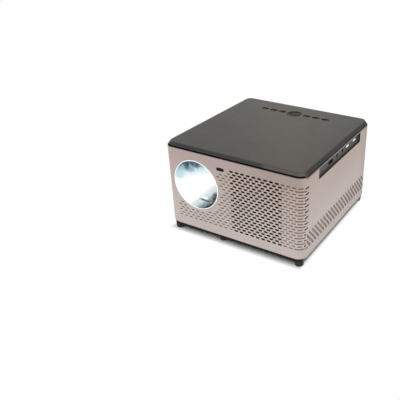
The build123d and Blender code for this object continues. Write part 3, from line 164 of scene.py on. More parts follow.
def feed(tree, target, value):
    if isinstance(value, Wire):
        tree.links.new(value.socket, target)
    else:
        target.default_value = value


def tone(red, green, blue):
    linear = []
    for part in (red, green, blue):
        share = part / 255
        linear.append(share / 12.92 if share <= 0.04045 else ((share + 0.055) / 1.055) ** 2.4)
    return (*linear, 1.0)


def startMaterial(name):
    # a new material and the place on its surface
    made = bpy.data.materials.new(name)
    made.use_nodes = True
    return made, Wire(made.node_tree).node("ShaderNodeTexCoord", out="Object")


def shaded(made, values):
    # the material with the values or wires of its shader's sockets
    shader = made.node_tree.nodes["Principled BSDF"]
    for name, value in values.items():
        feed(made.node_tree, shader.inputs[name], value)
    return made


def dress(name, material):
    for slot in bpy.data.objects[name].material_slots:
        slot.material = material


# materials

mouldedSpec = {
    "grain": 2600,
    "cloud": 22,
    "scuff": (90, 240, 160),
    "spread": 0.06,         # how far the roughness strays
    "bump": 0.12,
    "gloss": 0.5,
}


def moulded(name, low, high, rough, **changes):
    spec = dict(mouldedSpec, **changes)
    made, place = startMaterial(name)
    broad = place.noise(spec["cloud"], 4.0)
    fine = place.noise(spec["grain"])
    scuff = place.stretched(spec["scuff"]).noise(1.0, 5.0, 0.7)
    return shaded(made, {
        "Base Color": (broad * 0.6 + fine * 0.4).level().tint(tone(*low), tone(*high)),
        "Roughness": (broad * 0.5 + scuff * 0.5).level(rough - spec["spread"], rough + spec["spread"]),
        "Normal": fine.bump(spec["bump"]),
        "Specular IOR Level": spec["gloss"],
    })


def metal(name, low, high, rough, along=(40, 40, 4000)):
    made, place = startMaterial(name)
    lines = place.stretched(along).noise(1.0, 3.0, 0.6)
    broad = place.noise(60, 3.0)
    return shaded(made, {
        "Base Color": (lines * 0.5 + broad * 0.5).level().tint(tone(*low), tone(*high)),
        "Metallic": 1.0,
        "Roughness": (lines * 0.6 + broad * 0.4).level(rough - 0.08, rough + 0.1),
        "Normal": lines.bump(0.1),
    })


lidTone = {
    "low": tone(58, 51, 39),
    "high": tone(68, 61, 48),
    "shade": tone(165, 172, 176),
    "left": (-0.7, -0.5),       # the way along x and y in which painted shade darkens the left of the lid
    "leftSpan": (-0.03, 0.09),
    "rearward": 0.35,
    "rightSpan": (0.02, 0.14),
    "rightMost": 0.8,
    "stray": 0.02,
    "rough": (0.41, 0.48),
    "bump": 0.2,
}


def lidMaterial(name, spec):
    # painted shade: darker towards the front and the two sides, where less of the room shows in it
    made, place = startMaterial(name)
    x, y, z = place.axes()
    fine = place.noise(3400)
    broad = place.noise(22, 4.0)
    scuff = place.stretched((90, 60, 90)).noise(1.0, 5.0, 0.7)
    stray = (broad - 0.5) * spec["stray"]
    left = (x * spec["left"][0] + y * spec["left"][1] + stray).ramp(*spec["leftSpan"])
    right = (x + y * spec["rearward"] + stray).ramp(*spec["rightSpan"], 0.0, spec["rightMost"])
    body = (broad * 0.6 + fine * 0.4).level().tint(spec["low"], spec["high"])
    return shaded(made, {
        "Base Color": left.most(right).shade(body, spec["shade"]),
        "Roughness": (broad * 0.5 + scuff * 0.5).level(*spec["rough"]),
        "Normal": fine.bump(spec["bump"]),
    })


shellFoot, shellTop = [corner[2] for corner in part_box("side_shell")]
shellSpec = {
    "low": tone(190, 177, 172),
    "high": tone(209, 197, 192),
    "upper": tone(235, 225, 220),       # painted shade: the shell is a little darker higher up
    "upperSpan": (0.02, 0.14),
    "brushed": (60, 60, 3200),
    "rough": (0.35, 0.49),
    "bump": 0.12,
    "shadow": tone(168, 170, 172),
    "lip": (0.0014, 0.0002),            # under the lid's overhang, measured down from the top
    "lipShade": 0.7,
    "strip": (0.0026, 0.0018),          # over the side windows
    "stripFrom": (0.1125, 0.1135),
    "sideFrom": (0.101, 0.115),
    "foot": (0.012, 0.035),
    "footShade": 0.15,
    "rear": (0.07, 0.105),
    "rearShade": 0.2,
    "frontTop": (0.024, 0.014),
    "frontFrom": (0.108, 0.115),
    "frontSpan": (-0.04, 0.12),
    "frontShade": (0.08, 0.36),
}


def shellMaterial(name, spec):
    made, place = startMaterial(name)
    x, y, z = place.axes()
    brushed = place.stretched(spec["brushed"]).noise(1.0, 4.0, 0.65)
    broad = place.noise(14, 3.0)
    pearl = place.noise(5200, 1.0)
    body = (brushed * 0.55 + broad * 0.2 + pearl * 0.25).ramp(0.32, 0.68).tint(spec["low"], spec["high"])
    if "fadeTo" in spec:
        body = y.ramp(*spec["fade"]).tint(body, broad.tint(spec["fadeTo"]["low"], spec["fadeTo"]["high"]))
    body = z.ramp(*spec["upperSpan"]).shade(body, spec["upper"])

    def high(span, *ends):
        return z.ramp(shellTop - span[0], shellTop - span[1], *ends)

    # shaded under the lid, and a little low on the sides, towards the rear and at the top of the front
    sideways = abs(x).ramp(*spec["sideFrom"])
    lip = high(spec["lip"], 0.0, spec["lipShade"]).most(high(spec["strip"]) * abs(x).ramp(*spec["stripFrom"]))
    foot = z.ramp(*[shellFoot + up for up in spec["foot"]], spec["footShade"], 0.0) * sideways
    rear = y.ramp(*spec["rear"], 0.0, spec["rearShade"]) * sideways
    front = high(spec["frontTop"]) * (-1.0 * y).ramp(*spec["frontFrom"])
    front = front * x.ramp(*spec["frontSpan"], *spec["frontShade"])
    return shaded(made, {
        "Base Color": (lip + foot + rear + front).shade(body, spec["shadow"]),
        "Roughness": brushed.level(*spec["rough"]),
        "Normal": (brushed * 0.7 + pearl * 0.3).bump(spec["bump"]),
    })


# painted shade: darker tones of the shell for the insides of grooves
grooveSpec = dict(shellSpec, low=tone(144, 125, 118), high=tone(166, 146, 139), rough=(0.48, 0.62))


def boardMaterial(name):
    made, place = startMaterial(name)
    cells = place.node("ShaderNodeTexVoronoi", {"feature": "DISTANCE_TO_EDGE", "distance": "MANHATTAN"},
                      {"Vector": place, "Scale": 260.0}, out="Distance")
    traces = cells.ramp(0.03, 0.09)
    speck = place.noise(900)
    mask = traces.tint(tone(58, 120, 66), tone(20, 72, 40))
    return shaded(made, {
        "Base Color": speck.ramp(0.66, 0.7).tint(mask, tone(196, 186, 140)),
        "Roughness": speck.level(0.34, 0.5),
        "Normal": traces.bump(0.3),
    })


def clearMaterial(name, low, high, rough, bend):
    made, place = startMaterial(name)
    smear = place.noise(70, 3.0)
    return shaded(made, {
        "Base Color": smear.level().tint(low, high),
        "Roughness": smear.ramp(0.35, 0.7, *rough),
        "Transmission Weight": 1.0,
        "IOR": bend,
    })


ringFlange, windowFlange = 1.8, 1.5      # hidden behind the front panel
ringLow, ringHigh = boxOf("lens_ring")
lensReach = (ringHigh.z - ringLow.z) / 2 - ringFlange
lensAt = Vector((ringHigh.x - ringFlange - lensReach, (ringLow.z + ringHigh.z) / 2))
lensSpec = {
    "centre": tuple(lensAt * mm),
    "front": ringLow.y * mm,
    "lean": (0.56, 0.605),      # the pattern runs slanting into the lens
    "radius": 0.0376,
    "strength": 1.0,
    "streaks": (7.0, 1.3),      # how fast they change around and outwards
    "white": tone(255, 255, 255),
    # painted shade and reflection at each side of the white: its way across, how streaked and flecked it is,
    # and its tones in steps
    "sides": (
        ((-0.35, 0.937), 0.4, 0.2, ((0.26, 0.6, tone(208, 230, 238)), (0.56, 0.78, tone(140, 172, 182)),
                                    (0.8, 0.96, tone(66, 86, 98)))),
        ((0.69, -0.72), 0.22, 0.12, ((0.3, 0.56, tone(208, 218, 218)), (0.58, 0.8, tone(112, 132, 138)),
                                     (0.8, 0.93, tone(6, 10, 12)))),
    ),
    # painted glints and shadows: middle, reach, tone and share
    "glintsAndShadows": (
        ((-0.84, 0.34), (0.26, 0.24), tone(180, 214, 216), 0.6),
        ((-0.46, 0.82), (0.14, 0.26), tone(10, 44, 60), 0.9),
        ((-0.04, 0.9), (0.24, 0.14), tone(34, 66, 80), 0.8),
        ((-0.3, 0.62), (0.2, 0.12), tone(96, 138, 152), 0.6),
        ((0.88, -0.4), (0.2, 0.3), tone(6, 12, 16), 0.9),
        ((0.36, -0.585), (0.3, 0.055), tone(52, 72, 80), 1.0),
        ((0.34, -0.485), (0.14, 0.07), tone(250, 253, 255), 1.0),
    ),
    "markSoft": (0.2, 1.5),
    "markStreak": 2.0,
    "glass": (tone(10, 14, 18), tone(18, 24, 30)),
    "rim": (1.0, 1.015),
    "rimEdge": (1.032, 1.04),
    "rimTone": tone(236, 242, 246),
    "rimGlow": tone(150, 158, 160),
}


def glowMaterial(name, spec, rim=False):
    # the lamp's glow through the lens, with painted shade, reflections and glints: white in the middle, teal
    # at its upper left and dark at its lower right edge
    made, place = startMaterial(name)
    x, y, z = place.axes()
    behind = y - spec["front"]
    across = (x + behind * spec["lean"][0] - spec["centre"][0]) / spec["radius"]
    up = (z + behind * spec["lean"][1] - spec["centre"][1]) / spec["radius"]
    reach = (across * across + up * up) ** 0.5
    around = up.math("ARCTAN2", up, across)
    turns, outwards = spec["streaks"]
    polar = place.node("ShaderNodeCombineXYZ", None, {0: around * turns, 1: reach * outwards})
    streak = polar.noise(1.0, 4.0, 0.7) - 0.5
    fleck = place.noise(420, 3.0) - 0.5
    colour = spec["white"]
    for way, streaked, flecked, stops in spec["sides"]:
        side = across * way[0] + up * way[1] + streak * streaked + fleck * flecked
        for start, end, shade in stops:
            colour = side.ramp(start, end).tint(colour, shade)
    for (left, low), (wide, high), shade, share in spec["glintsAndShadows"]:
        far = abs((across - left) / wide) ** 2.0 + abs((up - low) / high) ** 2.0
        mark = far.ramp(*spec["markSoft"], share, 0.0) * (streak * spec["markStreak"] + 1.0)
        colour = mark.tint(colour, shade)
    values = {
        "Base Color": streak.ramp(-0.3, 0.3).tint(*spec["glass"]),
        "Roughness": streak.ramp(-0.2, 0.2, 0.05, 0.14),
        "Emission Color": colour,
        "Emission Strength": spec["strength"],
    }
    if rim:
        # the bright trim outside the lit part, with a painted glow, in the shell's colour at its outer edge
        trim, edge = reach.ramp(*spec["rim"]), reach.ramp(*spec["rimEdge"])
        values["Base Color"] = edge.tint(trim.tint(values["Base Color"], spec["rimTone"]), shellSpec["high"])
        values["Emission Color"] = edge.tint(trim.tint(colour, spec["rimGlow"]), (0, 0, 0, 1))
        values["Roughness"] = reach.ramp(*spec["rim"], 0.1, 0.35)
    return shaded(made, values)


baseTone = {
    "front": (tone(20, 17, 16), tone(28, 25, 23)),
    "side": (tone(122, 116, 112), tone(134, 128, 123)),
    "sideFrom": (0.1105, 0.1135),
    "rough": (0.64, 0.76),
    "gloss": 0.2,
}


def baseMaterial(name, spec):
    # painted light: nearly black in front, and on the sides paler, where the floor lights it
    made, place = startMaterial(name)
    x, y, z = place.axes()
    fine = place.noise(2600)
    front, side = [fine.level().tint(*spec[part]) for part in ("front", "side")]
    return shaded(made, {
        "Base Color": abs(x).ramp(*spec["sideFrom"]).tint(front, side),
        "Roughness": fine.level(*spec["rough"]),
        "Normal": fine.bump(0.12),
        "Specular IOR Level": spec["gloss"],
    })


finishes = {
    "shell_plastic": shellMaterial("shellPlastic", shellSpec),
    "dark_plastic": moulded("darkPlastic", (34, 32, 31), (44, 42, 41), 0.5, gloss=0.35),
    "lid_plastic": lidMaterial("lidPlastic", lidTone),
    # painted light: the ring, the hood and the lens glow with the lens's pattern
    "ring_plastic": glowMaterial("ringPaintedGlow", lensSpec, rim=True),
    "hood_plastic": glowMaterial("hoodGlow", lensSpec),
    "lens_glass": glowMaterial("lensGlow", lensSpec),
    "window_plastic": moulded("windowPlastic", (16, 4, 13), (28, 9, 23), 0.3, bump=0.02, gloss=0.1),
    "strip_plastic": moulded("stripPlastic", (72, 74, 69), (84, 86, 81), 0.5, gloss=0.3),
    "port_metal": metal("portMetal", (92, 94, 90), (124, 126, 120), 0.35),
    "jack_plastic": moulded("jackPlastic", (9, 9, 10), (17, 17, 18), 0.5, gloss=0.15),
    "rubber": moulded("rubber", (22, 22, 23), (36, 36, 37), 0.75, grain=1500, bump=0.3),
    "key_plastic": moulded("keyPlastic", (60, 58, 55), (70, 68, 65), 0.4, bump=0.15),
    "steel": metal("steel", (150, 152, 154), (182, 184, 186), 0.38),
    "aluminium": metal("aluminium", (184, 186, 188), (210, 212, 214), 0.34, along=(3000, 40, 40)),
    "brass": metal("brass", (176, 140, 78), (206, 170, 100), 0.3, along=(40, 40, 3000)),
    "board": boardMaterial("board"),
    "inner_plastic": moulded("innerPlastic", (36, 36, 38), (50, 50, 52), 0.6),
    "clear_plate": clearMaterial("clearPlate", (0.9, 0.94, 0.96, 1.0), (0.945, 0.987, 1.0, 1.0),
                                 (0.03, 0.08), 1.49),
    "cone_paper": moulded("conePaper", (40, 38, 36), (62, 58, 54), 0.85, grain=1200, bump=0.5),
    "tray_plastic": moulded("trayPlastic", (26, 26, 28), (38, 38, 40), 0.42),
}
special = {
    "lens_barrel": finishes["hood_plastic"],
    "bottom_plate": baseMaterial("basePlastic", baseTone),
    "hdmi_port": moulded("hdmiShell", (22, 22, 22), (34, 34, 33), 0.5, gloss=0.2),
    "speaker_baskets": moulded("blackSheet", (8, 8, 8), (14, 13, 13), 0.7, gloss=0.2),
    "speaker_cones": moulded("blackCone", (10, 9, 9), (18, 16, 15), 0.9, grain=1200, gloss=0.1),
}
for item in frame["record"]["subparts"]:
    dress(item["node"], special.get(item["node"], finishes[item["material_slot"]]))
print("materials on the frame")

lidEdgeTone = {
    "cool": tone(24, 31, 31),
    "dark": tone(42, 43, 41),
    "coolSpan": (-0.1, 0.02),
    "light": tone(82, 79, 78),
    "lightSpan": (0.046, 0.056),
    "side": tone(38, 34, 31),
    "frontFrom": (0.1, 0.108),
    "grain": tone(56, 54, 52),
    "rough": (0.46, 0.56),
    "gloss": 0.3,
}


def lidEdgeMaterial(name, spec):
    # painted reflection on the bevel: bluish dark at the left of the front, a little lighter at its right,
    # where the room shows in it, and a dark tone on the sides
    made, place = startMaterial(name)
    x, y, z = place.axes()
    fine = place.noise(3400)
    broad = place.noise(30, 3.0)
    front = (x + broad * 0.02).ramp(*spec["coolSpan"]).tint(spec["cool"], spec["dark"])
    front = x.ramp(*spec["lightSpan"]).tint(front, spec["light"])
    body = (-1.0 * y).ramp(*spec["frontFrom"]).tint(spec["side"], front)
    return shaded(made, {
        "Base Color": (fine * 0.25).tint(body, spec["grain"]),
        "Roughness": broad.level(*spec["rough"]),
        "Normal": fine.bump(0.15),
        "Specular IOR Level": spec["gloss"],
    })


lidEdgeReflection = lidEdgeMaterial("lidEdgeReflection", lidEdgeTone)
# painted shadow in black, and painted light in a pale tone on the lid's neck
shadowBlackMaterial = moulded("paintedShadowBlack", (5, 4, 4), (10, 9, 9), 0.9, gloss=0.05)
litNeckMaterial = moulded("paintedLightNeck", (150, 142, 136), (166, 158, 150), 0.8, gloss=0.2)

# the casing's outline: s runs along it from the middle of the front towards +X, in mm

caseSpec = {"radius": 14.0, "wall": 2.5, "arcStep": 7.5, "edgeRound": 0.4, "endRound": 0.03}
roundTurns = [math.radians(turn) for turn in (30, 60, 90)]      # steps round a softened edge
close = 1e-3        # points nearer than this to a line, in mm, lie on it
panelLow, panelHigh = boxOf("front_panel")
sideLow, sideHigh = boxOf("side_shell")


def walkCase():
    # flat runs and corner arcs in turn, each as start, length, first point, heading and bend
    radius = caseSpec["radius"]
    wide, deep = sideHigh.x - sideLow.x - 2 * radius, sideHigh.y - panelLow.y - 2 * radius
    flats = [wide / 2, deep, wide, deep, wide / 2]
    walk, place, heading, start = [], Vector((0.0, panelLow.y)), 0.0, 0.0
    for count, flat in enumerate(flats):
        walk.append((start, flat, place.copy(), heading, 0))
        place = place + Vector((math.cos(heading), math.sin(heading))) * flat
        start += flat
        if count < 4:
            arc = radius * math.pi / 2
            walk.append((start, arc, place.copy(), heading, 1))
            middle = place + Vector((-math.sin(heading), math.cos(heading))) * radius
            heading += math.pi / 2
            place = middle + Vector((math.sin(heading), -math.cos(heading))) * radius
            start += arc
    return walk, start


caseWalk, girth = walkCase()
splitAt = caseWalk[2][0] + panelHigh.y - caseWalk[2][2].y


def onCase(s, z, depth=0.0):
    # a place on the casing or under its face
    s = s % girth
    start, length, place, heading, bend = next(
        (part for part in caseWalk if s <= part[0] + part[1] + 1e-6), caseWalk[-1])
    along, radius = s - start, caseSpec["radius"]
    angle = heading + bend * along / radius
    normal = Vector((math.sin(angle), -math.cos(angle)))
    if bend:
        middle = place + Vector((-math.sin(heading), math.cos(heading))) * radius
        point = middle + normal * (radius - depth)
    else:
        point = place + Vector((math.cos(heading), math.sin(heading))) * along - normal * depth
    return Vector((point.x, point.y, z)) * mm


def opening(s, z, width, height, radius=None, angle=0.0, depth=None, edge=0.15, steps=4, inside="shell",
            between=None):
    # a rounded opening: depth None goes right through, inside names the material of its walls and floor
    radius = min(width, height) / 2 if radius is None else radius
    inner = Vector((width / 2 - radius, height / 2 - radius))
    loop = []
    for count, (a, b) in enumerate(((1, 1), (-1, 1), (-1, -1), (1, -1))):
        for step in range(steps + 1):
            turn = math.pi / 2 * (count + step / steps)
            point = Vector((a * inner.x, b * inner.y)) + Vector((math.cos(turn), math.sin(turn))) * radius
            if not loop or (point - loop[-1]).length > 1e-4:
                loop.append(point)
    if (loop[0] - loop[-1]).length < 1e-4:
        loop.pop()
    spin = Matrix.Rotation(math.radians(angle), 2)
    loop = [Vector((s, z)) + spin @ point for point in loop]
    if between:
        loop = clipped(loop, *between)
    return {"loop": loop, "depth": depth, "edge": edge, "inside": shellIndex[inside]}


def clipped(loop, low, high):
    # the part of a loop between two places along s
    for limit, sign in ((low, 1), (high, -1)):
        kept = []
        for first, second in zip(loop, loop[1:] + loop[:1]):
            a, b = sign * (first.x - limit), sign * (second.x - limit)
            if a >= 0:
                kept.append(first)
            if a * b < 0:
                kept.append(first.lerp(second, a / (a - b)))
        loop = kept
    return loop


def drawnIn(hole, point, inset):
    # a point on the opening's outline, moved in from it
    loop, normals = hole["loop"], []
    for first, second in zip(loop, loop[1:] + loop[:1]):
        run = second - first
        normal = Vector((-run.y, run.x)).normalized()
        along = (point - first).dot(run.normalized())
        if abs((point - first).dot(normal)) < close and -close < along < run.length + close:
            normals.append(normal)
    if not normals:
        return point.copy()
    if len(normals) == 1:
        return point + normals[0] * inset
    return point + (normals[0] + normals[1]) * inset / (1 + normals[0].dot(normals[1]))


def flatMesh(shapes, points=(), edges=()):
    # triangles over the shapes, with the number of the shape that each point came from
    points, faces, shapeOf = list(points), [], [-1] * len(points)
    for number, shape in enumerate(shapes):
        faces.append(list(range(len(points), len(points) + len(shape["loop"]))))
        points += shape["loop"]
        shapeOf += [number] * len(shape["loop"])
    return delaunay_2d_cdt(points, edges, faces, 0, 1e-5), shapeOf


def triangulate(corners, cuts, holes):
    # the rectangle between two corners, cut along upright lines and round the holes
    (left, low), (right, high) = corners
    lines = [left] + [cut for cut in cuts if left + 0.01 < cut < right - 0.01] + [right]
    points = [Vector((s, z)) for z in (low, high) for s in lines]
    count = len(lines)
    edges = [(k, k + count) for k in range(count)]
    edges += [(k, k + 1) for k in range(count - 1)] + [(k + count, k + count + 1) for k in range(count - 1)]
    out = flatMesh(holes, points, edges)[0]
    return out[0], out[2], [owners[0] if owners else -1 for owners in out[5]]


def borders(faces, labels, solid):
    # each side where the triangles of the solid's label end, with the label beyond it or "rim"
    sides = {(face[k], face[(k + 1) % 3]): label for face, label in zip(faces, labels) for k in range(3)}
    for (a, b), label in sides.items():
        beyond = sides.get((b, a), "rim")
        if label == solid and beyond != solid:
            yield a, b, beyond


def sheet(mesh, faces, labels, solid, column, paint=lambda beyond, number, face: 0, blind=()):
    # outer and inner faces over the solid triangles, and walls where these end. column gives a point's
    # places from the outer face to the inner one, and paint the material of a wall or a blind floor
    made = {}

    def verts(k, beyond):
        if (k, beyond) not in made:
            made[k, beyond] = [mesh.verts.new(place) for place in column(k, beyond)]
        return made[k, beyond]

    for face, label in zip(faces, labels):
        if label == solid:
            mesh.faces.new([verts(k, solid)[0] for k in face])
        elif label in blind:
            floor = mesh.faces.new([verts(k, label)[-1] for k in face])
            floor.material_index = paint(label, 1, floor)
        if label == solid or label in blind:
            mesh.faces.new([verts(k, solid)[-1] for k in reversed(face)])
    for a, b, beyond in borders(faces, labels, solid):
        first, second = verts(a, beyond), verts(b, beyond)
        for number in range(len(first) - 1):
            wall = mesh.faces.new([second[number], first[number], first[number + 1], second[number + 1]])
            wall.material_index = paint(beyond, number, wall)


def panel(name, spec, holes):
    # a part of the casing's wall with through openings, dimples and grooves
    wall, soft, end = [caseSpec[part] for part in ("wall", "edgeRound", "endRound")]
    left, right, low, high = spec["from"], spec["to"], spec["low"], spec["high"]
    step, count = caseSpec["radius"] * math.radians(caseSpec["arcStep"]), round(90 / caseSpec["arcStep"])
    cuts = [part[0] + k * step for part in caseWalk if part[4] for k in range(count + 1)]
    cuts = sorted(cut - turn for cut in cuts for turn in (0, girth))
    points, faces, labels = triangulate(((left + end, low + soft), (right - end, high - soft)), cuts, holes)
    blind = [number for number, hole in enumerate(holes) if hole["depth"] is not None]

    def rimPlace(point, turn):
        # the panel's own edge, rounded: from the outer face at no turn to the edge's face at a quarter turn
        s, z, depth = point.x, point.y, 0.0
        edges = ((s, left + end, -end, 0), (s, right - end, end, 0),
                 (z, low + soft, 0, -soft), (z, high - soft, 0, soft))
        for value, target, along, up in edges:
            if abs(value - target) < close:
                s, z = s + along * math.sin(turn), z + up * math.sin(turn)
                depth = max(depth, abs(along + up) * (1 - math.cos(turn)))
        return s, z, depth

    through = {}
    for face, label in zip(faces, labels):
        if label >= 0 and label not in blind:
            through.update((k, holes[label]) for k in face)

    def column(k, beyond):
        ring, point = [], points[k]
        if k in through:
            inner = (*drawnIn(through[k], point, through[k]["edge"]), wall)
        else:
            inner = (*rimPlace(point, math.pi / 2)[:2], wall)
        if beyond == "rim":
            ring = [rimPlace(point, turn) for turn in roundTurns]
        elif beyond >= 0:
            place, edge = drawnIn(holes[beyond], point, holes[beyond]["edge"]), holes[beyond]["edge"]
            ring = [(*place, edge)]
            if beyond in blind:
                inner = (*place, holes[beyond]["depth"])
        return [onCase(*place) for place in [(*point, 0.0)] + ring + [inner]]

    def paint(beyond, number, face):
        if beyond == "rim":
            # painted shadow: the flat top of the rim, under the lid, is near-black
            over = number == len(roundTurns) and min(vert.co.z for vert in face.verts) > (high - close) * mm
            return shellIndex["hole" if over else "shell"]
        return holes[beyond]["inside"] if number == 1 else 0

    mesh = bmesh.new()
    sheet(mesh, faces, labels, -1, column, paint, blind)
    return finishPiece(name, mesh, list(shellSet.values()))


def finishPiece(name, mesh, materials, body="case", sharp=32.0):
    bmesh.ops.remove_doubles(mesh, verts=mesh.verts, dist=1e-7)
    for face in mesh.faces:
        face.smooth = True
    for edge in mesh.edges:
        edge.smooth = edge.is_manifold and edge.calc_face_angle(0.0) < math.radians(sharp)
    data = bpy.data.meshes.new(name)
    mesh.to_mesh(data)
    mesh.free()
    for material in materials:
        data.materials.append(material)
    piece = added(name, data)
    weighted = piece.modifiers.new("weighted", "WEIGHTED_NORMAL")
    weighted.keep_sharp = True
    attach(piece, body)
    return piece


# painted shade: the walls and floors of grooves, dimples and dashes take darker tones of the shell, and the
# walls of the grille's holes a near-black one
shellSet = {
    "shell": finishes["shell_plastic"],
    "groove": shellMaterial("grooveShadePlastic", grooveSpec),
    "hole": moulded("holeShadowDark", (6, 5, 5), (12, 11, 11), 0.9, gloss=0.05),
    "dash": shellMaterial("dashShadowPlastic", dict(grooveSpec, low=tone(34, 28, 26), high=tone(50, 42, 39))),
    "dimple": shellMaterial("dimpleShadePlastic", dict(grooveSpec, low=tone(120, 102, 97),
                                                  high=tone(142, 122, 117))),
    "bend": shellMaterial("bendShadePlastic", dict(grooveSpec, low=tone(84, 64, 60), high=tone(106, 82, 78),
                                              fade=(-0.107, -0.0975), fadeTo=grooveSpec)),
}
shellIndex = {name: number for number, name in enumerate(shellSet)}

# front panel: speaker grille, blind dimples beside it, lens and remote window

irLow, irHigh = [corner.xz for corner in boxOf("ir_window")]
irAt, irSize = (irLow + irHigh) / 2, irHigh - irLow - Vector((2, 2)) * windowFlange

frontSpec = {
    "from": -splitAt,
    "to": splitAt,
    "low": panelLow.z,
    "high": panelHigh.z,
    "seat": 0.15,
    "rows": 22,
    "columns": 9,
    "firstX": 1.84,
    "topRow": 110.5,
    "pitchX": 9.04,
    "pitchZ": 4.5,
    "hole": (6.5, 3.0),
    "holeEdge": 0.12,
    "dimple": (5.6, 2.0),
    "dimpleDepth": 0.9,
    "leftDimples": 11,
    "leftLimit": -97.5,
    "plainAbove": 93.0,     # left of the window, the panel is plain above this height over its edge
    "plainLeft": -22.0,
    "lensClear": 2.6,
    "windowClear": 1.2,
    "evenRow": ((79.6, 85.8), (88.1, 94.3), (96.8, 103.0), (105.3, 113.0)),
    "oddRow": ((84.0, 90.2), (92.6, 98.8), (100.9, 117.8)),
    "cornerDash": (115.0, 123.0),
    "cornerDashAtGroove": 119.0,
    "cornerDepth": 1.4,
    "cornerTilt": 14.0,
    "cornerThick": 2.4,
}
grooveSet = {
    "count": 25,
    "pitch": 9.04,
    "first": 110.67,        # middle of the foremost groove along the outline
    "up": 27.0,
    "size": (36.0, 4.2),
    "tilt": 46.8,
    "depth": 1.2,
    "edge": 0.25,
    "from": 120.0,
    "seam": 0.05,
}


def grooves(low, high, side=1, inside="groove"):
    holes = []
    for count in range(grooveSet["count"]):
        s, z = side * (grooveSet["first"] + count * grooveSet["pitch"]), sideLow.z + grooveSet["up"]
        shape = opening(s, z, *grooveSet["size"], angle=-side * grooveSet["tilt"], depth=grooveSet["depth"],
                        edge=grooveSet["edge"], steps=5, inside=inside, between=(low, high))
        if len(shape["loop"]) > 2:
            holes.append(shape)
    return holes


def frontHoles(spec):
    edge = spec["holeEdge"]
    room = 2 * (spec["seat"] + edge)
    lensWide, windowSize = 2 * lensReach + room, irSize + Vector((room, room))
    holes = [opening(*lensAt, lensWide, lensWide, steps=24, edge=edge),
             opening(*irAt, *windowSize, steps=8, edge=edge)]
    long, short = spec["dimple"]

    def dash(start, end, z, thick=short, depth=spec["dimpleDepth"], inside="dimple", tilt=0.0):
        return opening((start + end) / 2, z, end - start, thick, angle=tilt, depth=depth, inside=inside)

    grooveReach = grooveSet["size"][0] / 2 * math.sin(math.radians(grooveSet["tilt"]))
    for row in range(spec["rows"]):
        z = spec["low"] + spec["topRow"] - row * spec["pitchZ"]
        shift = spec["firstX"] + (row % 2) * spec["pitchX"] / 2
        for column in range(spec["columns"]):
            holes.append(opening(shift + column * spec["pitchX"], z, *spec["hole"], edge=edge, inside="hole"))
        for start, end in spec["oddRow" if row % 2 else "evenRow"]:
            holes.append(dash(start, end, z))
        if row % 2 == 0:
            start, end = spec["cornerDash"]
            beside = abs(z - spec["low"] - grooveSet["up"]) < grooveReach
            holes.append(dash(start, spec["cornerDashAtGroove"] if beside else end, z, spec["cornerThick"],
                              spec["cornerDepth"], "dash", spec["cornerTilt"]))
        for column in range(-spec["leftDimples"], 0):
            s = shift + column * spec["pitchX"]
            toLens = Vector((max(0, abs(s - lensAt.x) - (long - short) / 2), z - lensAt.y)).length
            toWindow = max(abs(s - irAt.x) - (irSize.x + long) / 2,
                           abs(z - irAt.y) - (irSize.y + short) / 2)
            plain = z > spec["low"] + spec["plainAbove"] and s < spec["plainLeft"]
            hidden = z > lensAt.y and s < lensAt.x
            if (toLens > lensReach + short / 2 + spec["lensClear"] and toWindow > spec["windowClear"]
                    and s > spec["leftLimit"] and not plain and not hidden):
                holes.append(dash(s - long / 2, s + long / 2, z))
    near, far = grooveSet["from"], splitAt - grooveSet["seam"]
    return holes + grooves(near, far, inside="bend") + grooves(-far, -near, side=-1, inside="bend")


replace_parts(panel("frontFascia", frontSpec, frontHoles(frontSpec)), "front_panel")
print("front panel")

# side and rear walls

sideSpec = {
    "from": splitAt,
    "to": girth - splitAt,
    "low": sideLow.z,
    "high": sideHigh.z,
    "windowY": 1.6,
    "window": (148.2, 16.3),
    "windowUp": 115.55,
    "windowRound": 1.8,
    "windowEdge": 0.3,
    "rear": (190.2, 100.2),
    "rearUp": 63.0,
    "rearRound": 3.0,
    "rearEdge": 0.1,
}


def sideHoles(spec):
    windowS = caseWalk[2][0] - caseWalk[2][2].y + spec["windowY"]
    # painted shadow: the windows' walls take the dark dash tone
    holes = [opening(s, spec["low"] + spec["windowUp"], *spec["window"], radius=spec["windowRound"],
                     edge=spec["windowEdge"], inside="dash") for s in (windowS, girth - windowS)]
    far = splitAt + grooveSet["seam"]
    holes += grooves(far, girth / 2)
    for shape in grooves(-girth / 2, -far, side=-1):
        holes.append(dict(shape, loop=[point + Vector((girth, 0)) for point in shape["loop"]]))
    holes.append(opening(girth / 2, spec["low"] + spec["rearUp"], *spec["rear"], radius=spec["rearRound"],
                         edge=spec["rearEdge"]))
    return holes


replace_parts(panel("sideWalls", sideSpec, sideHoles(sideSpec)), "side_shell")
print("side walls")

# lid: bevelled plate on a neck, with wells for the keys; painted shadow in black along the front of the
# bevel's foot and neck and on the wells' walls, painted light on the neck elsewhere

lidTop = boxOf("top_lid")[1].z
keyNames = ["play_key", "menu_key", "power_key", "volume_down_key", "volume_up_key", "source_key"]
keyBoxes = {name: boxOf(name) for name in keyNames + ["ok_key", "direction_ring"]}
keyPlaces = {name: (low + high) / 2 for name, (low, high) in keyBoxes.items()}

lidSpec = {
    "topInset": 5.0,
    "lowInset": 0.9,
    "lowZ": 5.6,            # lower edge of the bevel under the top
    "neckInset": 2.0,
    "neckZ": 6.4,
    "skirtInset": 2.65,
    "skirtZ": 7.9,
    "innerInset": 4.65,
    "skin": 2.0,
    "soft": 0.8,
    "lipSoft": 0.4,
    "shadowEdge": 1.4,       # painted shadow: black lower part of the bevel at the front, along its slope
    "shadowTo": -0.45,       # the painted shadow ends where the edge has turned this far from the front
    "keyHole": (13.0, 8.0),
    "ringHole": 24.0,
    "edge": 0.35,
    "steps": 12,
}


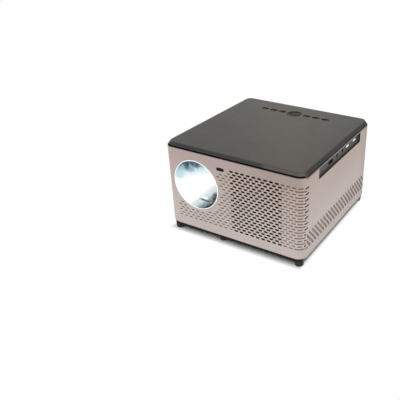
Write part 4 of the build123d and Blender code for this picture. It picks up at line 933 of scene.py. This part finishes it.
def makeLid(spec):
    radius, top = caseSpec["radius"], lidTop
    core = Vector(((sideHigh.x - sideLow.x) / 2 - radius, (sideHigh.y - panelLow.y) / 2 - radius))
    finish = {"top": 0, "bevel": 1, "black": 2, "neck": 3}

    def outward(point):
        near = Vector((max(-core.x, min(core.x, point.x)), max(-core.y, min(core.y, point.y))))
        return near, (point - near).normalized()

    def ringAt(point, inset, depth):
        # a point of the outline, moved to another ring of the rounded square
        near, way = outward(point)
        place = near + way * (radius - inset)
        return Vector((place.x, place.y, top - depth))

    def curve(first, middle, last, steps=3):
        first, middle, last = Vector(first), Vector(middle), Vector(last)
        shares = [step / steps for step in range(steps + 1)]
        return [first * (1 - t) ** 2 + middle * 2 * t * (1 - t) + last * t * t for t in shares]

    slope = Vector((spec["lowInset"] - spec["topInset"], spec["lowZ"])).normalized() * spec["soft"]
    upper, lower = Vector((spec["topInset"], 0)), Vector((spec["lowInset"], spec["lowZ"]))
    profile = curve(upper + Vector((spec["soft"], 0)), upper, upper + slope)
    bevelFrom = len(profile) - 1
    profile.append(lower - slope * spec["shadowEdge"] / spec["soft"])
    neckFrom = len(profile) - 1
    profile += curve(lower - slope * spec["lipSoft"], lower, lower + Vector((spec["lipSoft"], 0)))
    lipEnd = len(profile)
    under = (("neckInset", "lowZ"), ("neckInset", "neckZ"), ("skirtInset", "neckZ"), ("skirtInset", "skirtZ"),
             ("innerInset", "skirtZ"), ("innerInset", "skin"))
    profile += [Vector((spec[inset], spec[depth])) for inset, depth in under]

    edge = spec["edge"]
    keyWide, keyTall, ringWide = [size + 2 * edge for size in (*spec["keyHole"], spec["ringHole"])]
    holes = [opening(*keyPlaces[name].xy, keyWide, keyTall, steps=8, edge=edge) for name in keyNames]
    holes.append(opening(*keyPlaces["ok_key"].xy, ringWide, ringWide, steps=16, edge=edge))
    bend = radius - spec["topInset"] - spec["soft"]
    outline = opening(0, 0, 2 * (core.x + bend), 2 * (core.y + bend), radius=bend, steps=spec["steps"])
    out = flatMesh([outline] + holes)[0]
    points, triangles = out[0], out[2]
    labels = [max(owners, default=-1) for owners in out[5]]

    owners = {k: holes[label - 1] for face, label in zip(triangles, labels) if label > 0 for k in face}

    def column(k, beyond):
        ring, point = [], points[k]
        inner = ringAt(point, *profile[-1])
        if k in owners:
            inner = Vector((*drawnIn(owners[k], point, edge), top - spec["skin"]))
        if beyond == "rim":
            ring = [ringAt(point, *pair) for pair in profile[1:-1]]
        elif beyond > 0:
            ring = [Vector((*drawnIn(holes[beyond - 1], point, edge * math.sin(turn)),
                            top - edge * (1 - math.cos(turn)))) for turn in roundTurns]
        return [place * mm for place in [Vector((*point, top))] + ring + [inner]]

    def paint(beyond, number, face):
        # painted shadow: black on the key wells' walls and at the front of the bevel's foot, lip and neck;
        # painted light: the pale neck elsewhere
        if beyond != "rim":
            return finish["black" if number == len(roundTurns) else "top"]
        if number < bevelFrom:
            return finish["top"]
        if number < neckFrom:
            return finish["bevel"]
        if outward(face.calc_center_median().xy / mm)[1].y < spec["shadowTo"]:
            return finish["black"]
        return finish["bevel" if number < lipEnd else "neck"]

    mesh = bmesh.new()
    sheet(mesh, triangles, labels, 0, column, paint)
    return finishPiece("lidPlate", mesh, [finishes["lid_plastic"], lidEdgeReflection, shadowBlackMaterial, litNeckMaterial])


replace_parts(makeLid(lidSpec), "top_lid")
print("lid")

# the keys' tops: a dark rim of painted shade round each, in mm from the middle

keyTops = {
    "key": {"flat": 2.5, "reach": 3.7, "rim": 1.0, "top": (tone(60, 55, 47), tone(72, 66, 57)),
            "dark": (tone(20, 18, 16), tone(30, 27, 24))},
    "ok_key": {"flat": 0.0, "reach": 5.6, "rim": 0.6, "top": (tone(58, 53, 46), tone(70, 64, 56)),
               "dark": (tone(24, 22, 19), tone(34, 31, 27))},
    "direction_ring": {"flat": 0.0, "reach": 9.5, "rim": 1.6, "top": (tone(60, 54, 45), tone(70, 63, 53)),
                       "dark": (tone(8, 8, 7), tone(15, 14, 13)), "near": 0.45, "nearTo": 6.0},
}
keyFinish = {"soft": 0.3, "stray": 0.3, "fade": 0.4, "rough": (0.5, 0.6), "bump": 0.15, "gloss": 0.2}


def keyMaterial(name, centre, spec):
    made, place = startMaterial(name)
    x, y, z = place.axes()
    fine = place.noise(3400)
    broad = place.noise(90, 3.0)
    beside = (abs(x - centre.x * mm) - spec["flat"] * mm).most(0.0)
    ahead = y - centre.y * mm
    reach = (beside * beside + ahead ** 2.0) ** 0.5 + (broad - 0.5) * keyFinish["stray"] * mm
    inner, outer = spec["reach"] - spec["rim"], spec["reach"]
    rim = reach.ramp((inner - keyFinish["soft"]) * mm, inner * mm)
    if "near" in spec:
        # past its dark circle of painted shade the ring is as plain as the lid, and the painted shade is
        # fainter at the front
        rim = rim * reach.ramp(outer * mm, (outer + keyFinish["fade"]) * mm, 1.0, 0.0)
        rim = rim * ahead.ramp(-spec["nearTo"] * mm, spec["nearTo"] * mm, spec["near"], 1.0)
    top = (fine * 0.5 + broad * 0.5).level().tint(*spec["top"])
    return shaded(made, {
        "Base Color": rim.tint(top, fine.level().tint(*spec["dark"])),
        "Roughness": broad.level(*keyFinish["rough"]),
        "Normal": fine.bump(keyFinish["bump"]),
        "Specular IOR Level": keyFinish["gloss"],
    })


for name, place in keyPlaces.items():
    dress(name, keyMaterial(name + "Top", place, keyTops.get(name, keyTops["key"])))

# symbols printed on the keys, following their dished tops

symbolSpec = {
    "line": 1.0,
    "thick": 0.04,
    "sunk": 0.1,
    "keyDish": (0.4, 30.0),     # depth in the middle and radius of the top's hollow
    "ringDish": (0.8, 60.0),
    "arrow": ((6.6, -1.0), (7.7, 0), (6.6, 1.0)),
}


def box2(x0, y0, x1, y1):
    return [(x0, y0), (x1, y0), (x1, y1), (x0, y1)]


def arcBand(inner, outer, start, end, steps=14):
    angles = [math.radians(start + (end - start) * step / steps) for step in range(steps + 1)]
    return ([(outer * math.cos(a), outer * math.sin(a)) for a in angles]
            + [(inner * math.cos(a), inner * math.sin(a)) for a in reversed(angles)])


def symbolShapes(line):
    half = line / 2
    return {
        "play_key": [[(-1.4, -1.7), (-1.4, 1.7), (0.6, 0)], box2(1.0, -1.7, 1.6, 1.7),
                     box2(2.1, -1.7, 2.7, 1.7)],
        "menu_key": [box2(-2.4, -1.7, 2.4, -1.1), box2(-2.4, -0.3, 2.4, 0.3), box2(-2.4, 1.1, 2.4, 1.7)],
        "power_key": [arcBand(1.5, 2.1, 125, 415), box2(-0.3, 0.2, 0.3, 2.5)],
        "volume_down_key": [box2(-2.2, -half, 2.2, half)],
        "volume_up_key": [box2(-2.2, -half, 2.2, half), box2(-half, half + 0.01, half, 2.0),
                          box2(-half, -2.0, half, -half - 0.01)],
        "source_key": [box2(-2.6, -1.8, -2.0, 1.8), box2(-1.9, -1.8, 1.0, -1.2), box2(-1.9, 1.2, 1.0, 1.8),
                       box2(-1.2, -0.3, 0.9, 0.3), [(0.95, -1.0), (2.4, 0), (0.95, 1.0)]],
        "ok_key": [arcBand(1.3, 2.0, 0, 359.9, 28)],
    }


def printed(name, shapes, key, dish):
    centre, (sink, bend) = keyPlaces[key], dish
    middle = Vector((centre.x, centre.y, keyBoxes[key][1].z - sink))
    mesh = bmesh.new()

    for shape in shapes:
        out = delaunay_2d_cdt([Vector(point) for point in shape], [], [list(range(len(shape)))], 1, 1e-6)

        def column(k, beyond):
            lift = Vector((*out[0][k], out[0][k].length_squared / (2 * bend)))
            return [(middle + lift + Vector((0, 0, rise))) * mm
                    for rise in (symbolSpec["thick"], -symbolSpec["sunk"])]

        sheet(mesh, out[2], [0] * len(out[2]), 0, column)
    return finishPiece(name, mesh, [symbolMaterial], body=key)


symbolMaterial = moulded("symbolInk", (6, 6, 6), (12, 11, 11), 0.6, gloss=0.15)
for name, shapes in symbolShapes(symbolSpec["line"]).items():
    printed(name.replace("_key", "_symbol"), shapes, name, symbolSpec["keyDish"])
quarters = [Matrix.Rotation(math.pi / 2 * turn, 2) for turn in range(4)]
arrows = [[quarter @ Vector(point) for point in symbolSpec["arrow"]] for quarter in quarters]
printed("direction_symbols", arrows, "direction_ring", symbolSpec["ringDish"])
print("key symbols")

# white tongues in the data sockets, with a painted glow

tongueSpec = {
    "size": (10.5, 10.6, 1.9),
    "up": -0.2,
    "sink": 5.75,               # its middle, behind the socket's mouth
    "soft": 0.2,
    "tones": (tone(246, 246, 240), tone(255, 255, 250)),
    "rough": (0.3, 0.4),
    "glow": 0.35,
}


def tongueMaterial(name, spec):
    made, place = startMaterial(name)
    broad = place.noise(400, 3.0)
    body = broad.level().tint(*spec["tones"])
    return shaded(made, {"Base Color": body, "Roughness": broad.level(*spec["rough"]),
                             "Emission Color": body, "Emission Strength": spec["glow"]})


tongueWhiteGlow = tongueMaterial("tongueWhiteGlow", tongueSpec)
for name in ("usb_port_front", "usb_port_rear"):
    low, high = boxOf(name)
    middle = (low + high) / 2 + Vector((0, 0, tongueSpec["up"]))
    middle.x = high.x - tongueSpec["sink"]
    mesh = bmesh.new()
    bmesh.ops.create_cube(mesh, size=1.0)
    for vertex in mesh.verts:
        vertex.co = (middle + vertex.co * Vector(tongueSpec["size"])) * mm
    bmesh.ops.bevel(mesh, geom=mesh.edges[:], offset=tongueSpec["soft"] * mm, segments=2, affect="EDGES")
    finishPiece(name.replace("port", "tongue"), mesh, [tongueWhiteGlow])
print("socket tongues")

# rear plate with its exhaust slots, inlet hole and screws, and the drive's light

def plate(name, outline, holes, place, depth, edge, materials, body="case"):
    # a flat plate with softened edges; place turns a point of the loops and a depth into a place in mm
    shapes = [outline] + holes
    out, shapeOf = flatMesh(shapes)

    def column(k, beyond):
        point, number = out[0][k], shapeOf[out[3][k][0]]
        drawn = drawnIn(shapes[number], point, edge if number else -edge)
        return [place(*pair) * mm for pair in ((point, 0.0), (drawn, edge), (drawn, depth))]

    mesh = bmesh.new()
    sheet(mesh, out[2], [max(origins, default=1) for origins in out[5]], 0, column,
          lambda beyond, number, face: number * (len(materials) - 1))
    return finishPiece(name, mesh, materials, body=body)


rearSpec = {
    "size": (189.7, 99.7),
    "up": 63.0,
    "round": 2.85,
    "sunk": 0.6,
    "thick": 2.5,
    "flange": (4.0, 1.2),       # how far it reaches past the plate, and its thickness
    "flangeEdge": 0.1,
    "fanUp": 53.0,
    "fan": 80.0,
    "slots": (2, 11),
    "slotHeight": 3.2,
    "slotRound": 1.0,
    "slotsTo": 82.0,            # from the middle of the plate
    "inlet": (62.0, 24.0, 21.3, 11.3),
    "inletEdge": 0.1,
    "edge": 0.35,
    "screwIn": 6.0,
    "screw": (2.9, 0.5, 0.2),   # radius, height and softened edge
    "cross": (0.42, 1.6),
}


def onRear(right, up, sunk):
    # the loops' first coordinate runs towards -X, as seen from behind
    return lambda point, depth: Vector((-(right + point.x), sideHigh.y - sunk - depth, up + point.y))


def rearHoles(spec):
    columns, rows = spec["slots"]
    height, half = spec["slotHeight"], spec["fan"] / 2
    holes = []
    for column in range(columns):
        for row in range(rows):
            across = (column - (columns - 1) / 2) * half - lensAt.x
            left, right = across - (half - height) / 2, min(across + (half - height) / 2, spec["slotsTo"])
            up = (row - (rows - 1) / 2) * 2 * height + spec["fanUp"] - spec["up"]
            holes.append(opening((left + right) / 2, up, right - left, height, radius=spec["slotRound"],
                                 edge=spec["edge"]))
    right, up, width, tall = spec["inlet"]
    holes.append(opening(-right, up - spec["up"], width, tall, steps=8, edge=spec["inletEdge"]))
    return holes


def crossHole(half, reach):
    arm = [(half, half), (half, reach), (-half, reach)]
    return {"loop": [quarter @ Vector(point) for quarter in quarters for point in arm]}


def makeRear(spec):
    width, tall = spec["size"]
    middle = sideLow.z + spec["up"]
    reach, thick = spec["flange"]
    outline = opening(0, 0, width - 2 * spec["edge"], tall - 2 * spec["edge"], radius=spec["round"], steps=6)
    # painted shade: below their softened edge the walls of the plate, the flange and the screw heads, in
    # their openings and round their outsides, are near-black
    dark, holes = [finishes["dark_plastic"], shellSet["hole"]], rearHoles(spec)
    rear = plate("rearPlate", outline, holes, onRear(0, middle, spec["sunk"]), spec["thick"] - spec["sunk"],
                 spec["edge"], dark)
    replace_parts(rear, "rear_panel")
    back = opening(0, 0, width + 2 * reach, tall + 2 * reach, radius=spec["round"] + reach, steps=6)
    plate("rearFlange", back, holes, onRear(0, middle, spec["thick"]), thick, spec["flangeEdge"], dark)
    radius, height, soft = spec["screw"]
    head = opening(0, 0, 2 * (radius - soft), 2 * (radius - soft), steps=8)
    places = [(column, row) for column in (-1, 0, 1) for row in (-1, 1)]
    for count, (column, row) in enumerate(places, 1):
        right, up = column * (width / 2 - spec["screwIn"]), row * (tall / 2 - spec["screwIn"])
        plate(f"rear_screw_{count}", head, [crossHole(*spec["cross"])],
              onRear(right, middle + up, spec["sunk"] - height), height, soft, [screwMetal, shellSet["hole"]])


screwMetal = metal("screwMetal", (70, 70, 72), (96, 96, 98), 0.4)
makeRear(rearSpec)
print("rear plate")

# the drive's light, beside its button

lightSpec = {"beside": 24.0, "size": (3.2, 1.1), "thick": 0.25, "edge": 0.1}
buttonLow, buttonHigh = boxOf("eject_button")
lightX = boxOf("tray_bezel")[0].x - lightSpec["thick"]
lightAt = (buttonLow + buttonHigh) / 2 - Vector((0, lightSpec["beside"], 0))
lightLens = moulded("lightLens", (70, 150, 90), (96, 176, 112), 0.2, bump=0.02)
plate("drive_light", opening(0, 0, *lightSpec["size"], steps=6), [],
      lambda point, depth: Vector((lightX + depth, lightAt.y - point.x, lightAt.z + point.y)),
      lightSpec["thick"], lightSpec["edge"], [lightLens], body="disc_tray")
print("drive light")

# camera, floor and lights

cameraSpec = {
    "azimuth": 29.2753,
    "elevation": 27.8125,
    "target": (0.01297, 0.0, panelLow.z * mm + 0.04096),
    "distance": 0.8528,
    "lens": 48.31,
    "shift": (-0.198, -0.0392),
}
turn, lift = math.radians(cameraSpec["azimuth"]), math.radians(cameraSpec["elevation"])
back = Vector((math.sin(turn) * math.cos(lift), -math.cos(turn) * math.cos(lift), math.sin(lift)))
cameraData = bpy.data.cameras.new("viewCamera")
cameraData.lens = cameraSpec["lens"]
cameraData.shift_x, cameraData.shift_y = cameraSpec["shift"]
cameraData.clip_start = 0.01
camera = added("viewCamera", cameraData)
camera.location = Vector(cameraSpec["target"]) + back * cameraSpec["distance"]
camera.rotation_euler = facing(back)
bpy.context.scene.camera = camera
bpy.context.scene.view_settings.view_transform = "Standard"

floorSpec = {
    "half": 6.0,
    "near": 0.112,
    "far": 0.1205,
    "right": 0.006,
    "tones": (tone(250, 250, 250), tone(246, 246, 246)),
    "rough": (0.7, 0.8),
}


def plainlySeen(start):
    # by the camera, or in metal and glass
    camera, glossy, clear = [start.node("ShaderNodeLightPath", out=f"Is {ray} Ray")
                             for ray in ("Camera", "Glossy", "Transmission")]
    return camera.most(glossy).most(clear)


def makeFloor(spec):
    mesh = bpy.data.meshes.new("floor")
    corners = [(-1, -1), (1, -1), (1, 1), (-1, 1)]
    mesh.from_pydata([(a * spec["half"], b * spec["half"], 0.0) for a, b in corners], [], [(0, 1, 2, 3)])
    floor = added("floor", mesh)
    made, place = startMaterial("floor")
    x, y, z = place.axes()
    grain = place.noise(900, 2.0)
    away = (x + spec["right"]).most(abs(x)).most(abs(y)).ramp(spec["near"], spec["far"])
    shaded(made, {"Base Color": grain.tint(*spec["tones"]), "Roughness": grain.level(*spec["rough"])})
    plain = place.node("ShaderNodeEmission", None, {"Color": (1, 1, 1, 1), "Strength": 1.0})
    tree = made.node_tree
    lit = Wire(tree, tree.nodes["Principled BSDF"].outputs[0])
    mix = place.node("ShaderNodeMixShader", None, {0: away * plainlySeen(place), 1: lit, 2: plain})
    feed(tree, tree.nodes["Material Output"].inputs["Surface"], mix)
    mesh.materials.append(made)


makeFloor(floorSpec)

worldSpec = {"ambient": 0.62}
world = bpy.data.worlds.new("studio")
bpy.context.scene.world = world
world.use_nodes = True
background = world.node_tree.nodes["Background"]
feed(world.node_tree, background.inputs["Color"], (1, 1, 1, 1))
feed(world.node_tree, background.inputs["Strength"],
     plainlySeen(Wire(world.node_tree)).ramp(0.0, 1.0, worldSpec["ambient"], 1.0))


def areaLight(name, spec):
    data = bpy.data.lights.new(name, "AREA")
    data.shape = "RECTANGLE"
    data.size, data.size_y = spec["size"]
    data.energy = spec["energy"]
    lamp = added(name, data)
    lamp.location = spec["from"]
    lamp.rotation_euler = facing(Vector(spec["from"]) - Vector(spec["at"]))
    lamp.visible_camera = False


lampSpecs = {
    "keyLight": {"from": (0.9, -0.9, 1.3), "at": (0, 0, 0.07), "size": (0.9, 0.9), "energy": 9.0},
    "fillLight": {"from": (-1.1, -0.7, 0.8), "at": (0, 0, 0.07), "size": (0.8, 0.8), "energy": 3.0},
}
for name, spec in lampSpecs.items():
    areaLight(name, spec)
print("stage ready")

bpy.context.view_layer.update()
